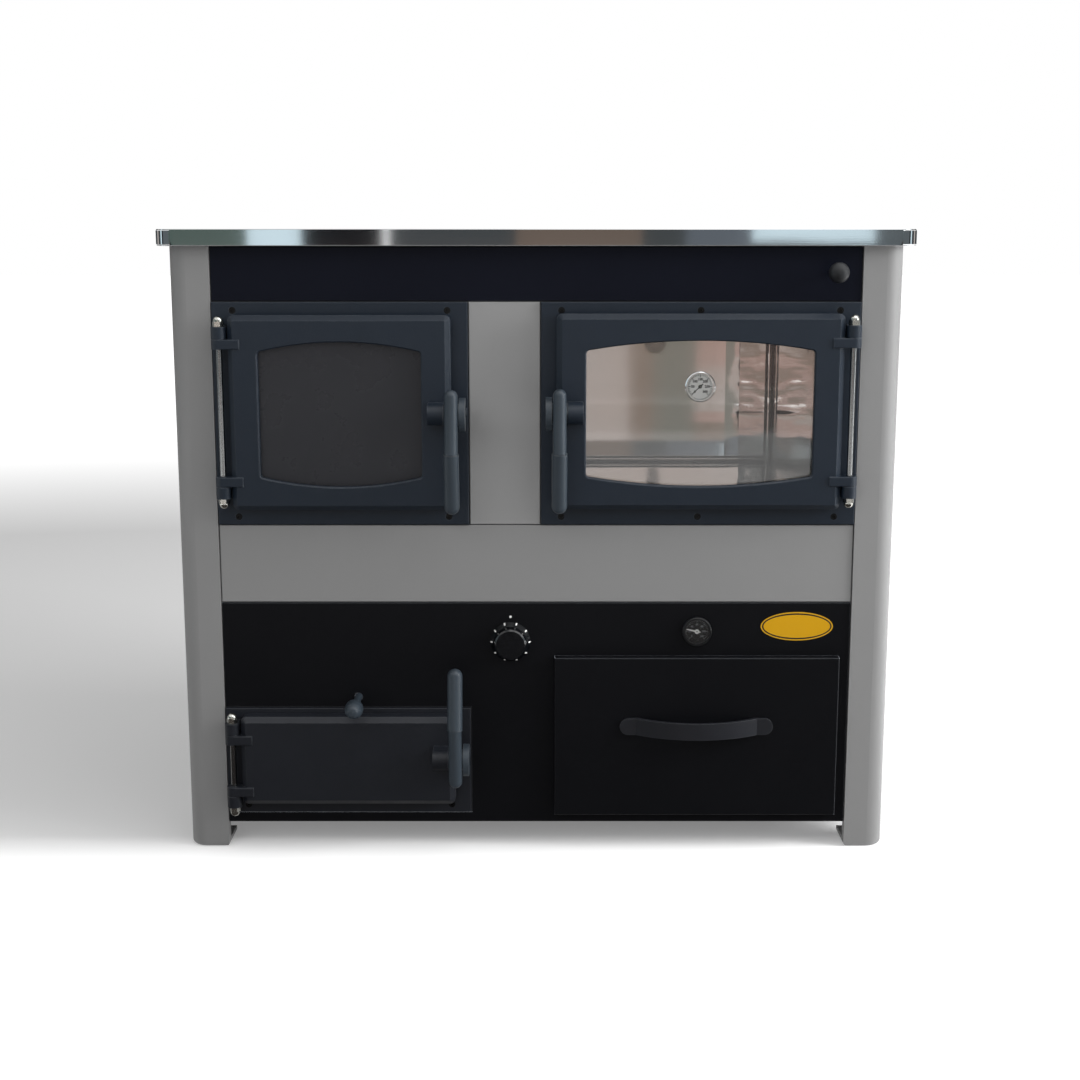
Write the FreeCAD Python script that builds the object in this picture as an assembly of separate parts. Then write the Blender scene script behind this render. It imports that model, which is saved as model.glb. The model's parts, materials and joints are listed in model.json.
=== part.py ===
"""A wood-fired central-heating cookstove: steel cabinet on four folded pillars, cast doors, oven, boiler and hob.

Millimetres. X runs to the right seen from the front, Y to the back, Z up. The origin is on the floor,
under the middle of the whole stove, so the front faces -Y.
"""

import FreeCAD, Part
import math
import os
from types import SimpleNamespace

V = FreeCAD.Vector

# Overall sizes and general clearances
HEIGHT = 853.0
BODY_W = 973.0
BODY_D = 600.0
BASE_CLEAR = 36.0
SEAM = 1.2
FIT = 0.3
RUN = 0.05

# Rows of the front as shares of the height, and what stands in the lower row as shares of its top
FASCIA_SHARE = 0.0826
DOOR_ROW_SHARE = 0.35
BAND_SHARE = 0.1249
ASH_SHARE = 0.429
DRAWER_SHARE = 0.6416
KNOB_SHARE = 0.845
GAUGE_SHARE = 0.886

# Folded pillars
PILLAR_W = 55.5
PILLAR_D = 58.0
PILLAR_R = 24.0
PILLAR_T = 2.0
PILLAR_RETURN = 14.0
PILLAR_LAP = 10.0
FOOT_T = 10.0
FOOT_R = 6.0

# Sheet panels and the steel front wall behind them
PANEL_T = 2.0
PANEL_RECESS = 3.0
PANEL_FOLD = 1.2
PANEL_GAP = 1.0
WALL_T = 3.0
SIDE_T = 1.5
BACK_T = 1.5
BASE_T = 3.0

# Hob rim, cooking plate and lid
RIM_H = 22.0
RIM_SIDE = 12.5
RIM_FRONT = 20.0
RIM_LIP = 34.0
RIM_T = 4.0
RIM_R = 26.0
RIM_EDGE = 1.0
RIM_FOOT = 8.0
CAP_L = 22.0
CAP_T = 0.8
CAP_IN = 1.5
LEDGE_W = 12.0
LEDGE_T = 3.0
HOB_T = 10.0
HOB_DROP = 0.5
LID_R = 110.0
LID_SEAT = 10.0
LID_T = 6.0
LID_HOLE_R = 8.0
LID_RIGHT = 55.0
LID_Y = -40.0

# Cast door frames and the grey strip between the upper two
FRAME_T = 6.0
STRIP_W = 95.0
STRIP_SHARE = -0.0492
ASH_FOOT = 15.5
MOUTH_INSET = 18.0
WEB_W = 16.0

# Doors
PIN_IN = 12.0
PIN_R = 4.0
PIN_FRONT = 17.0
EDGE_GAP = 12.0
DOOR_T = 24.0
DOOR_CLEAR = 1.0
DOOR_BEVEL = 7.0
DOOR_CORNER_R = 8.0
KNUCKLE_R = 10.0
KNUCKLE_H = 16.0
LUG_H = 13.0
LUG_GAP = 0.5
LUG_REACH = 16.0
LUG_EDGE = 1.5
WINDOW_MARGIN = 39.0
WINDOW_HEAD = 35.0
WINDOW_SILL = 32.0
WINDOW_RISE = 13.0
WINDOW_R = 5.0
WINDOW_EDGE = 1.6
DOOR_WEB = 9.0
GLASS_T = 4.0
GLASS_LAP = 12.0
SEAL_W = 10.0
SEAL_DEPTH = 6.0
SEAL_INSET = 4.0
CLIP_W = 9.0
CLIP_H = 20.0
CLIP_T = 6.0
CLIP_AT = 75.0

# Lever handles, their cams and the tongues on the frames
PIVOT_FRONT = 18.0
ARM_R = 8.9
GRIP_R = 10.2
ARM_OUT = 17.0
HANDLE_SHORT = 34.0
HANDLE_LONG = 131.0
ELBOW_DROP = 49.0
ELBOW_OUT = 9.0
GRIP_IN = 6.0
HUB_R = 14.0
HUB_W = 20.0
BOSS_R = 14.0
BOSS_W = 21.0
HANDLE_PIN_R = 5.0
LEVER_SWING = 28.0
CAM_R = 22.0
CAM_W = 8.0
CAM_PLAY = 1.0
TONGUE_H = 8.0
TONGUE_REACH = 11.5
SIDE_PLAY = 0.5
PIN_END = 3.0

# Acorn nuts and frame screws
NUT_FLATS = 13.0
NUT_HEX = 6.5
NUT_H = 14.0
SCREW_HEAD_R = 4.6
SCREW_R = 2.5
SCREW_SINK = 2.6
SCREW_INSET = 11.0
SCREW_SIDE = 16.0
SCREW_FREE = 27.0
SCREW_HEX = 4.4
SCREW_HEX_D = 1.8

# Wood drawer
DRAWER_SIDE = 15.0
DRAWER_STRIP_GAP = 19.8
DRAWER_FOOT = 15.0
DRAWER_FRONT_T = 14.0
DRAWER_SHEET = 1.5
DRAWER_LIP = 20.0
DRAWER_LIFT = 16.0
DRAWER_HEADROOM = 37.0
DRAWER_BACK_GAP = 114.0
DRAWER_PLAY = 5.0
RUNNER_W = 14.0
BOW_SHARE = 0.54
BOW_HEIGHT_SHARE = 0.571
BOW_H = 23.5
BOW_T = 4.0
BOW_OUT = 26.0
BOW_TAB = 22.0

# Oven liner, set in from the mouth of its door
OVEN_SIDE_IN = 15.5
OVEN_SILL = 4.5
OVEN_HEAD = 21.5
OVEN_BACK_GAP = 180.0
OVEN_T = 1.5
OVEN_COVE = 9.0

# Boiler and firebox, set out from the mouth of the firebox door
FIREBOX_OUT = 5.5
FIREBOX_BACK_GAP = 92.0
BOILER_WALL = 30.0
BOILER_SHEET = 4.0
BOILER_HEAD = 9.5
BOILER_SIDE_DROP = 16.0
BOILER_FRONT_SOLID = 36.0
LEDGE_BAR = 16.0
GRATE_T = 16.0
GRATE_BAR = 11.0
GRATE_SLOT = 10.0
GRATE_FRONT = 50.0
GRATE_BACK = 80.0
GRATE_RIM = 18.0
GRATE_PLAY = 1.0
GRATE_OVER_ROD = 8.3
SOCKET_R = 21.0
SOCKET_BORE = 15.15
SOCKET_L = 34.0
SOCKET_OUT = 4.0
DRAIN_R = 14.0
DRAIN_BORE = 9.3
FLOW_DROP = 18.0
RETURN_DROP = 12.0

# Ash pan
PAN_SIDE = 12.0
PAN_HEADROOM = 9.0
PAN_BACK = 66.0
PAN_T = 1.5
PAN_RAIL = 20.0
PAN_CLEAR = 4.0

# Flue passages, damper and chimney collar
CASING_T = 2.0
CASING_DROP = 20.0
CASING_IN = 6.0
DAMPER_HOLE_W = 130.0
DAMPER_MARGIN = 12.0
DAMPER_LAP = 10.0
DAMPER_T = 3.0
FLUE_R = 75.0
FLUE_T = 2.5
FLUE_IN = 134.0
FLUE_DROP = 96.0
FLUE_REACH = 80.0
DAMPER_IN = 36.0
DAMPER_SHARE = 0.535
DAMPER_ROD_R = 4.0
BALL_R = 13.5
BALL_OUT = 44.0
BALL_NECK_R = 7.0
BALL_NECK_L = 18.0

# Grate shaker, thermostat and gauges
SHAKER_RIGHT = 14.0
SHAKER_OVER = 15.7
SHAKER_ROD_R = 5.0
SHAKER_OUT = 80.0
SHAKER_KNOB_R = 12.5
SHAKER_KNOB_L = 36.0
SHAKER_KNOB_RINGS = 10
KNOB_RIGHT = 6.8
KNOB_R = 27.5
KNOB_CAP_R = 21.5
KNOB_CAP_EDGE = 2.0
KNOB_DRAFT = 1.0
KNOB_SKIRT = 9.0
KNOB_OUT = 24.0
KNOB_STEM_R = 5.0
THERMOSTAT_W = 46.0
THERMOSTAT_D = 40.0
GAUGE_R = 20.0
GAUGE_CUP_R = 17.0
GAUGE_DEPTH = 24.0
GAUGE_BEZEL = 3.0
GAUGE_EDGE = 1.0
GAUGE_PROUD = 7.0
LENS_T = 1.5
NEEDLE_T = 0.8
NEEDLE_W = 1.6
NEEDLE_LIFT = 0.8
NEEDLE_HUB_R = 2.4
STAFF_R = 0.8
OVEN_GAUGE_RISE = 34.5
OVEN_GAUGE_STEM_R = 5.0
OVEN_GAUGE_NUT_R = 9.0
OVEN_GAUGE_NUT_T = 7.0
BOILER_NEEDLE_DEG = -78.0
OVEN_NEEDLE_DEG = -133.0

# Planes from front to back
FRONT = -BODY_D / 2
BACK = BODY_D / 2
BACK_IN = BACK - PILLAR_RETURN - BACK_T
PANEL_FRONT = FRONT + PANEL_RECESS
PANEL_BACK = PANEL_FRONT + PANEL_T
WALL_BACK = PANEL_BACK + WALL_T
FRAME_FRONT = PANEL_BACK - FRAME_T
DOOR_BACK = FRAME_FRONT - DOOR_CLEAR
DOOR_FRONT = DOOR_BACK - DOOR_T
PIN_Y = FRAME_FRONT - PIN_FRONT
PIVOT_Y = DOOR_FRONT - PIVOT_FRONT
OVEN_BACK = BACK - OVEN_BACK_GAP
FIRE_FRONT = WALL_BACK + BOILER_WALL
FIRE_BACK = BACK - FIREBOX_BACK_GAP
BOILER_BACK = FIRE_BACK + BOILER_WALL
DRAWER_FRONT_Y = PANEL_FRONT - FIT - DRAWER_FRONT_T
DRAWER_BOX_FRONT = DRAWER_FRONT_Y + DRAWER_SHEET
DRAWER_BOX_BACK = BACK_IN - DRAWER_BACK_GAP

# Levels from the top down
PILLAR_TOP = HEIGHT - RIM_H
HOB_TOP = HEIGHT - HOB_DROP
LEDGE_TOP = HOB_TOP - HOB_T
BOILER_TOP = LEDGE_TOP - BOILER_HEAD
FASCIA_TOP = PILLAR_TOP - SEAM
FASCIA_Z = FASCIA_TOP - FASCIA_SHARE * HEIGHT
FRAME_TOP = FASCIA_Z - SEAM
FRAME_Z = FRAME_TOP - DOOR_ROW_SHARE * HEIGHT
BAND_TOP = FRAME_Z - SEAM
BAND_Z = BAND_TOP - BAND_SHARE * HEIGHT
LOWER_TOP = BAND_Z - SEAM
ASH_FRAME_Z = BASE_CLEAR + ASH_FOOT
ASH_FRAME_TOP = ASH_FRAME_Z + ASH_SHARE * LOWER_TOP
SHAKER_Z = ASH_FRAME_TOP + SHAKER_OVER
GRATE_Z = SHAKER_Z + GRATE_OVER_ROD
KNOB_Z = KNOB_SHARE * LOWER_TOP
GAUGE_Z = GAUGE_SHARE * LOWER_TOP
DAMPER_Z = FASCIA_Z + DAMPER_SHARE * (FASCIA_TOP - FASCIA_Z)
FLUE_Z = PILLAR_TOP - FLUE_DROP
CASING_FLOOR = FRAME_Z - CASING_DROP
BASE_TOP = BASE_CLEAR + SIDE_T + BASE_T
DRAWER_Z = BASE_CLEAR + DRAWER_FOOT
DRAWER_H = DRAWER_SHARE * LOWER_TOP
DRAWER_BOX_Z = DRAWER_Z + DRAWER_LIFT
DRAWER_BOX_H = DRAWER_H - DRAWER_LIFT - DRAWER_HEADROOM
BOW_Z = DRAWER_Z + BOW_HEIGHT_SHARE * DRAWER_H

# Places across the front
HALF_IN = BODY_W / 2 - PILLAR_W
PANEL_HALF = HALF_IN - PANEL_GAP
SIDE_IN = BODY_W / 2 - PILLAR_T - SIDE_T
PIN_X = PANEL_HALF - PIN_IN
STRIP_X = STRIP_SHARE * 2 * PANEL_HALF
STRIP_LEFT = STRIP_X - STRIP_W / 2
STRIP_RIGHT = STRIP_X + STRIP_W / 2
KNOB_X = STRIP_X + KNOB_RIGHT
DAMPER_X = PANEL_HALF - DAMPER_IN
CASING_SIDE = PANEL_HALF - CASING_IN
FLUE_X = CASING_SIDE - FLUE_IN
DRAWER_LEFT = STRIP_RIGHT + DRAWER_STRIP_GAP
DRAWER_RIGHT = PANEL_HALF - DRAWER_SIDE
DRAWER_X = (DRAWER_LEFT + DRAWER_RIGHT) / 2
DRAWER_HALF = (DRAWER_RIGHT - DRAWER_LEFT) / 2
DRAWER_BOX_HALF = DRAWER_HALF - DRAWER_LIP
BOW_L = BOW_SHARE * 2 * DRAWER_HALF
GAUGE_X = DRAWER_X


def door_plan(side, frame_u, frame_z0, frame_z1, free_edge, low_edge, top_edge, **rest):
    """A hinged door's sizes: u runs from the hinge pin to the free edge, z0 and z1 are its bottom and top."""
    return SimpleNamespace(
        side=side, frame_u=frame_u, frame_z0=frame_z0, frame_z1=frame_z1,
        width=frame_u - EDGE_GAP - free_edge, z0=frame_z0 + low_edge, z1=frame_z1 - top_edge, **rest)


# The three hinged doors: hinge side, frame, margins to the frame, hinge insets, lever and frame screws
DOORS = {
    "firebox": door_plan(
        -1, PIN_X + STRIP_LEFT - SEAM, FRAME_Z, FRAME_TOP, free_edge=22.0, low_edge=23.0, top_edge=16.5,
        top_inset=15.0, low_inset=15.5, grip=-1, handle_in=20.0, pivot_rise=1.5, window=True, screws=2),
    "oven": door_plan(
        1, PIN_X - STRIP_RIGHT - SEAM, FRAME_Z, FRAME_TOP, free_edge=20.6, low_edge=24.0, top_edge=14.5,
        top_inset=15.0, low_inset=15.5, grip=-1, handle_in=24.0, pivot_rise=1.0, window=True, screws=3),
    "ash": door_plan(
        -1, PIN_X + STRIP_LEFT - SEAM, ASH_FRAME_Z, ASH_FRAME_TOP, free_edge=21.0, low_edge=18.5, top_edge=7.0,
        top_inset=9.0, low_inset=-4.0, grip=1, handle_in=18.5, pivot_rise=9.0, window=False, screws=2),
}
for plan in DOORS.values():
    plan.handle_u = plan.frame_u - plan.handle_in
    plan.pivot_z = (plan.z0 + plan.z1) / 2 + plan.pivot_rise


def door_x(door, u):
    return door.side * (PIN_X - u)


def mouth(door):
    """The opening behind a door, as x0, x1, z0, z1."""
    xs = sorted((door_x(door, EDGE_GAP + MOUTH_INSET), door_x(door, EDGE_GAP + door.width - MOUTH_INSET)))
    return xs[0], xs[1], door.z0 + MOUTH_INSET, door.z1 - MOUTH_INSET


# Inner spaces behind the doors
FIRE_LEFT = mouth(DOORS["firebox"])[0] - FIREBOX_OUT
FIRE_RIGHT = mouth(DOORS["firebox"])[1] + FIREBOX_OUT
FIREBOX_X = (FIRE_LEFT + FIRE_RIGHT) / 2
FIREBOX_W = FIRE_RIGHT - FIRE_LEFT
BOILER_SIDE_TOP = FRAME_TOP - BOILER_SIDE_DROP
SHAKER_X = FIREBOX_X + SHAKER_RIGHT
LID_X = FIREBOX_X + LID_RIGHT
OVEN_LEFT = mouth(DOORS["oven"])[0] + OVEN_SIDE_IN
OVEN_RIGHT = mouth(DOORS["oven"])[1] - OVEN_SIDE_IN
OVEN_FLOOR = DOORS["oven"].z0 + OVEN_SILL
OVEN_TOP = DOORS["oven"].z1 - OVEN_HEAD
PAN_Z = DOORS["ash"].z0 + MOUTH_INSET + PAN_CLEAR / 2
PAN_H = DOORS["ash"].z1 - DOORS["ash"].z0 - 2 * MOUTH_INSET - PAN_HEADROOM
PAN_HALF = FIREBOX_W / 2 - PAN_SIDE
PAN_FRONT = WALL_BACK + PAN_CLEAR
PAN_BACK_Y = FIRE_BACK - PAN_BACK
DRAWER_MOUTH = (DRAWER_X - DRAWER_BOX_HALF - DRAWER_PLAY, DRAWER_X + DRAWER_BOX_HALF + DRAWER_PLAY,
                DRAWER_BOX_Z - DRAWER_PLAY, DRAWER_BOX_Z + DRAWER_BOX_H + DRAWER_PLAY)

# Water sockets at the back: x, z, outside radius and bore
FLOW_Z = FRAME_TOP - FLOW_DROP
RETURN_Z = ASH_FRAME_TOP - RETURN_DROP
SOCKETS = [
    (FIREBOX_X, FLOW_Z, SOCKET_R, SOCKET_BORE),
    (FIREBOX_X, RETURN_Z, SOCKET_R, SOCKET_BORE),
    (FIREBOX_X + FIREBOX_W / 3, RETURN_Z, DRAIN_R, DRAIN_BORE),
]


# Small modelling helpers

def block(x0, x1, y0, y1, z0, z1):
    return Part.makeBox(x1 - x0, y1 - y0, z1 - z0, V(x0, y0, z0))


def rod(start, end, radius):
    start, end = V(*start), V(*end)
    return Part.makeCylinder(radius, (end - start).Length, start, end - start)


def rounded(box_shape, radius, along):
    """A box with its edges parallel to one axis rounded."""
    edges = [e for e in box_shape.Edges if abs(e.tangentAt(e.FirstParameter).dot(along)) > 0.99]
    return box_shape.makeFillet(radius, edges)


def turned(profile, base, axis):
    """A solid of revolution from (radius, height) points, its height running along axis from base."""
    points = [V(r, 0, h) for r, h in profile]
    face = Part.Face(Part.makePolygon(points + [points[0]]))
    return aimed(face.revolve(V(0, 0, 0), V(0, 0, 1), 360), base, axis)


def aimed(shape, base, axis):
    """Moves a shape built along +Z so that it starts at base and runs along axis."""
    shape.Placement = FreeCAD.Placement(V(*base), FreeCAD.Rotation(V(0, 0, 1), V(*axis)))
    return shape


def capsule(start, end, radius, flat_start=False):
    """A round bar between two points with a domed end, or two."""
    start, end = V(*start), V(*end)
    length = (end - start).Length
    half = math.sqrt(0.5) * radius
    edges = []
    if flat_start:
        edges.append(Part.makeLine(V(0, 0, 0), V(radius, 0, 0)))
        first = V(0, 0, 0)
    else:
        edges.append(Part.Arc(V(0, 0, -radius), V(half, 0, -half), V(radius, 0, 0)).toShape())
        first = V(0, 0, -radius)
    edges.append(Part.makeLine(V(radius, 0, 0), V(radius, 0, length)))
    edges.append(Part.Arc(V(radius, 0, length), V(half, 0, length + half), V(0, 0, length + radius)).toShape())
    edges.append(Part.makeLine(V(0, 0, length + radius), first))
    solid = Part.Face(Part.Wire(edges)).revolve(V(0, 0, 0), V(0, 0, 1), 360)
    return aimed(solid, start, end - start)


def hex_bar(flats, length):
    """A hexagonal bar standing on the origin, sized across its flats."""
    reach = flats / math.sqrt(3)
    turns = [math.radians(60 * i) for i in range(7)]
    outline = Part.makePolygon([V(reach * math.cos(a), reach * math.sin(a), 0) for a in turns])
    return Part.Face(outline).extrude(V(0, 0, length))


def prism(edges, direction):
    return Part.Face(Part.Wire(edges)).extrude(direction)


def ring_plate(x0, x1, y0, y1, z0, z1, radius):
    """A flat plate with its upright corners rounded."""
    return rounded(block(x0, x1, y0, y1, z0, z1), radius, V(0, 0, 1))


def mirrored_x(shape):
    return shape.mirror(V(0, 0, 0), V(1, 0, 0))


def placed(shape, door):
    """Puts a left-hinged shape, drawn with its hinge pin at x = 0, on the door's own side."""
    if door.side > 0:
        shape = mirrored_x(shape)
    shape.translate(V(door.side * PIN_X, 0, 0))
    return shape


def export(name, *solids):
    shape = solids[0] if len(solids) == 1 else Part.makeCompound(list(solids))
    shape.exportStep(f"parts/{name}.step")


# Cabinet

def pillar():
    """The front left pillar: one folded sheet with a round outer corner and a rounded foot block."""
    x0, y0 = -BODY_W / 2, FRONT

    def outline(inset):
        r = PILLAR_R - inset
        left, front = x0 + inset, y0 + inset
        bend = r * (1 - math.sqrt(0.5))
        return [
            (V(left, y0 + PILLAR_D, 0), V(left, front + r, 0)),
            (V(left, front + r, 0), V(left + bend, front + bend, 0), V(left + r, front, 0)),
            (V(left + r, front, 0), V(x0 + PILLAR_W - inset, front, 0)),
            (V(x0 + PILLAR_W - inset, front, 0), V(x0 + PILLAR_W - inset, y0 + PILLAR_RETURN, 0)),
        ]

    def edge(points):
        return Part.makeLine(*points) if len(points) == 2 else Part.Arc(*points).toShape()

    outer, inner = outline(0), outline(PILLAR_T)
    ends = [
        Part.makeLine(outer[-1][-1], inner[-1][-1]),
        Part.makeLine(outer[0][0], inner[0][0]),
    ]
    wall = Part.Face(Part.Wire(Part.__sortEdges__([edge(p) for p in outer + inner] + ends)))
    closing = [
        Part.makeLine(outer[-1][-1], V(outer[-1][-1].x, y0 + PILLAR_D, 0)),
        Part.makeLine(V(outer[-1][-1].x, y0 + PILLAR_D, 0), outer[0][0]),
    ]
    foot = Part.Face(Part.Wire(Part.__sortEdges__([edge(p) for p in outer] + closing)))
    block_foot = foot.extrude(V(0, 0, FOOT_T))
    sole = [e for e in block_foot.Edges if all(abs(v.Z) < 1e-6 for v in e.Vertexes)]
    shell = wall.extrude(V(0, 0, PILLAR_TOP - FOOT_T))
    shell.translate(V(0, 0, FOOT_T))
    return shell.fuse(block_foot.makeFillet(FOOT_R, sole)).removeSplitter()


def make_pillars():
    front_left = pillar()
    front_right = mirrored_x(front_left)
    export("front_left_pillar", front_left)
    export("front_right_pillar", front_right)
    export("rear_left_pillar", front_left.mirror(V(0, 0, 0), V(0, 1, 0)))
    export("rear_right_pillar", front_right.mirror(V(0, 0, 0), V(0, 1, 0)))


def make_side_panels():
    """Flat sheets lapped behind the pillars, with a fold along the top and bottom."""
    lap = FRONT + PILLAR_R + FIT
    x1 = -BODY_W / 2 + PILLAR_T
    panel = block(x1, x1 + SIDE_T, lap, -lap, BASE_CLEAR, PILLAR_TOP)
    for z in (BASE_CLEAR, PILLAR_TOP - SIDE_T):
        inside = FRONT + PILLAR_D + FIT
        panel = panel.fuse(block(x1, x1 + PILLAR_RETURN, inside, -inside, z, z + SIDE_T))
    panel = panel.removeSplitter()
    export("left_side_panel", panel)
    export("right_side_panel", mirrored_x(panel))


def make_back_panel():
    """A flat sheet against the pillar returns, pierced for the chimney collar and the water sockets."""
    half = HALF_IN + PILLAR_LAP
    panel = block(-half, half, BACK_IN, BACK_IN + BACK_T, BASE_CLEAR, PILLAR_TOP)
    holes = [(FLUE_X, FLUE_Z, FLUE_R + FLUE_T + FIT)]
    holes += [(x, z, outer + FIT) for x, z, outer, bore in SOCKETS]
    for x, z, radius in holes:
        panel = panel.cut(rod((x, BACK_IN - BACK_T, z), (x, BACK_IN + 2 * BACK_T, z), radius))
    export("back_panel", panel)


def make_base():
    """The floor sheet on the side-panel folds, with the two rails that carry the ash pan."""
    inside = FRONT + PILLAR_R
    sheet = block(-SIDE_IN, SIDE_IN, inside, BACK_IN, BASE_TOP - BASE_T, BASE_TOP)
    rails = []
    for side in (-1, 1):
        x = FIREBOX_X + side * (PAN_HALF - PAN_RAIL)
        rails.append(block(x - PAN_RAIL / 2, x + PAN_RAIL / 2, WALL_BACK, PAN_BACK_Y, BASE_TOP, PAN_Z))
    export("base_plate", sheet, *rails)


def soft_plate(x0, x1, z0, z1):
    """A painted front sheet with its outer front edges eased."""
    plate = block(x0, x1, PANEL_FRONT, PANEL_BACK, z0, z1)
    return plate.makeFillet(PANEL_FOLD, front_edges(plate, PANEL_FRONT))


def front_edges(shape, y):
    return [e for e in shape.Edges if all(abs(v.Y - y) < 1e-6 for v in e.Vertexes)]


def through(x, z, radius):
    """A drill from front to back through the front sheet and wall."""
    return rod((x, FRONT - FRAME_T, z), (x, WALL_BACK + FRAME_T, z), radius)


def window_through(x0, x1, z0, z1):
    return block(x0, x1, FRONT - FRAME_T, WALL_BACK + FRAME_T, z0, z1)


def make_front():
    """The steel front wall with the painted sheets in front of it."""
    damper_hole = through(DAMPER_X, DAMPER_Z, DAMPER_ROD_R + FIT)
    low_holes = [
        through(SHAKER_X, SHAKER_Z, SHAKER_ROD_R + FIT),
        through(KNOB_X, KNOB_Z, KNOB_STEM_R + FIT),
        through(GAUGE_X, GAUGE_Z, GAUGE_CUP_R + FIT),
        window_through(*DRAWER_MOUTH),
    ]
    ash = DOORS["ash"]

    wall = block(-HALF_IN, HALF_IN, PANEL_BACK, WALL_BACK, BASE_CLEAR, PILLAR_TOP)
    wall = wall.cut([window_through(*mouth(door)) for door in DOORS.values()])
    wall = wall.cut([damper_hole] + low_holes)
    wall = wall.cut([through(x, z, SCREW_R + RUN) for door in DOORS.values() for x, z in screw_places(door)])
    export("front_wall", wall)

    export("top_fascia", soft_plate(-PANEL_HALF, PANEL_HALF, FASCIA_Z, FASCIA_TOP).cut(damper_hole))
    export("center_strip", soft_plate(STRIP_LEFT, STRIP_RIGHT, FRAME_Z, FRAME_TOP))
    export("middle_band", soft_plate(-PANEL_HALF, PANEL_HALF, BAND_Z, BAND_TOP))

    lower = soft_plate(-PANEL_HALF, PANEL_HALF, BASE_CLEAR, LOWER_TOP)
    frame_right = door_x(ash, ash.frame_u) + SEAM
    lower = lower.cut(window_through(-BODY_W, frame_right, ash.frame_z0 - SEAM, ash.frame_z1 + SEAM))
    export("lower_panel", lower.cut(low_holes))


# Hob

def rim_plate(inset, z0, z1):
    """A rounded plate set in from the outside of the rim."""
    half = BODY_W / 2 + RIM_SIDE - inset
    radius = max(RIM_R - inset, RIM_EDGE)
    return ring_plate(-half, half, FRONT - RIM_FRONT + inset, BACK - inset, z0, z1, radius)


def flat_edges(shape):
    """Edges that lie level, as round the top and bottom of a plate."""
    return [e for e in shape.Edges if all(abs(v.Z - e.Vertexes[0].Z) < 1e-6 for v in e.Vertexes)]


def corner_caps():
    """Thin pressed caps that wrap the rim's four corners."""
    sleeve = rim_plate(-CAP_T, PILLAR_TOP + CAP_IN, HEIGHT - CAP_IN)
    sleeve = sleeve.makeChamfer(CAP_T, flat_edges(sleeve))
    x = BODY_W / 2 + RIM_SIDE
    caps = []
    for y0, y1 in ((FRONT - RIM_FRONT - CAP_L, FRONT - RIM_FRONT + CAP_L), (BACK - CAP_L, BACK + CAP_L)):
        for side in (-x, x):
            caps.append(sleeve.common(block(side - CAP_L, side + CAP_L, y0, y1, 0, 2 * HEIGHT)))
    return caps


def make_hob():
    outer = rim_plate(0, PILLAR_TOP, HEIGHT)
    flat = flat_edges(outer)
    rim = outer.makeFillet(RIM_EDGE, flat).fuse(corner_caps())
    rim = rim.cut(rim_plate(RIM_T, PILLAR_TOP + LEDGE_T, HEIGHT - RIM_T))
    rim = rim.cut(rim_plate(RIM_LIP, HEIGHT - 2 * RIM_T, HEIGHT + RIM_T))
    inside = block(-BODY_W / 2 + RIM_FOOT, BODY_W / 2 - RIM_FOOT, FRONT + RIM_FOOT, BACK - RIM_FOOT,
                   PILLAR_TOP - RIM_T, PILLAR_TOP + 2 * LEDGE_T)
    rim = rim.cut(inside)
    drop = rim_plate(RIM_LIP - LEDGE_T, LEDGE_TOP - LEDGE_T, HEIGHT - RIM_T / 2)
    drop = drop.cut(rim_plate(RIM_LIP, LEDGE_TOP, HEIGHT))
    drop = drop.cut(rim_plate(RIM_LIP + LEDGE_W, LEDGE_TOP - 2 * LEDGE_T, HEIGHT))
    export("hob_rim", rim.fuse(drop).removeSplitter())

    plate = rim_plate(RIM_LIP + PANEL_GAP, LEDGE_TOP, HOB_TOP)
    plate = plate.cut(rod((LID_X, LID_Y, LEDGE_TOP - HOB_T), (LID_X, LID_Y, HEIGHT), LID_R - LID_SEAT))
    plate = plate.cut(rod((LID_X, LID_Y, HOB_TOP - LID_T), (LID_X, LID_Y, HEIGHT), LID_R + FIT))
    export("hob_plate", plate)

    lid = rod((LID_X, LID_Y, HOB_TOP - LID_T), (LID_X, LID_Y, HOB_TOP), LID_R)
    lift = rod((LID_X, LID_Y - LID_R / 2, LEDGE_TOP), (LID_X, LID_Y - LID_R / 2, HEIGHT), LID_HOLE_R)
    export("hob_lid", lid.cut(lift))


# Doors, drawn left-hinged with the pin axis at x = 0

def levels(door):
    """Heights of the upper and lower hinge: frame knuckle and door lug as (low, high)."""
    top = door.z1 - door.top_inset
    low = door.z0 + door.low_inset
    knuckles = [(top - KNUCKLE_H, top), (low, low + KNUCKLE_H)]
    lugs = [(top - KNUCKLE_H - LUG_GAP - LUG_H, top - KNUCKLE_H - LUG_GAP),
            (low + KNUCKLE_H + LUG_GAP, low + KNUCKLE_H + LUG_GAP + LUG_H)]
    return knuckles, lugs


def upright(z0, z1, radius):
    return rod((0, PIN_Y, z0), (0, PIN_Y, z1), radius)


def door_rect(door, inset, y0, y1):
    return block(EDGE_GAP + inset, EDGE_GAP + door.width - inset, y0, y1, door.z0 + inset, door.z1 - inset)


def window_prism(door):
    """The window outline, arched at the top and bottom, cut right through the door."""
    x0, x1 = EDGE_GAP + WINDOW_MARGIN, EDGE_GAP + door.width - WINDOW_MARGIN
    mid = (x0 + x1) / 2
    y = DOOR_FRONT - DOOR_T
    high, low = door.z1 - WINDOW_HEAD, door.z0 + WINDOW_SILL
    shoulder, sill = high - WINDOW_RISE, low + WINDOW_RISE
    edges = [
        Part.makeLine(V(x0, y, sill), V(x0, y, shoulder)),
        Part.Arc(V(x0, y, shoulder), V(mid, y, high), V(x1, y, shoulder)).toShape(),
        Part.makeLine(V(x1, y, shoulder), V(x1, y, sill)),
        Part.Arc(V(x1, y, sill), V(mid, y, low), V(x0, y, sill)).toShape(),
    ]
    return rounded(prism(edges, V(0, 3 * DOOR_T, 0)), WINDOW_R, V(0, 1, 0))


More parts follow.
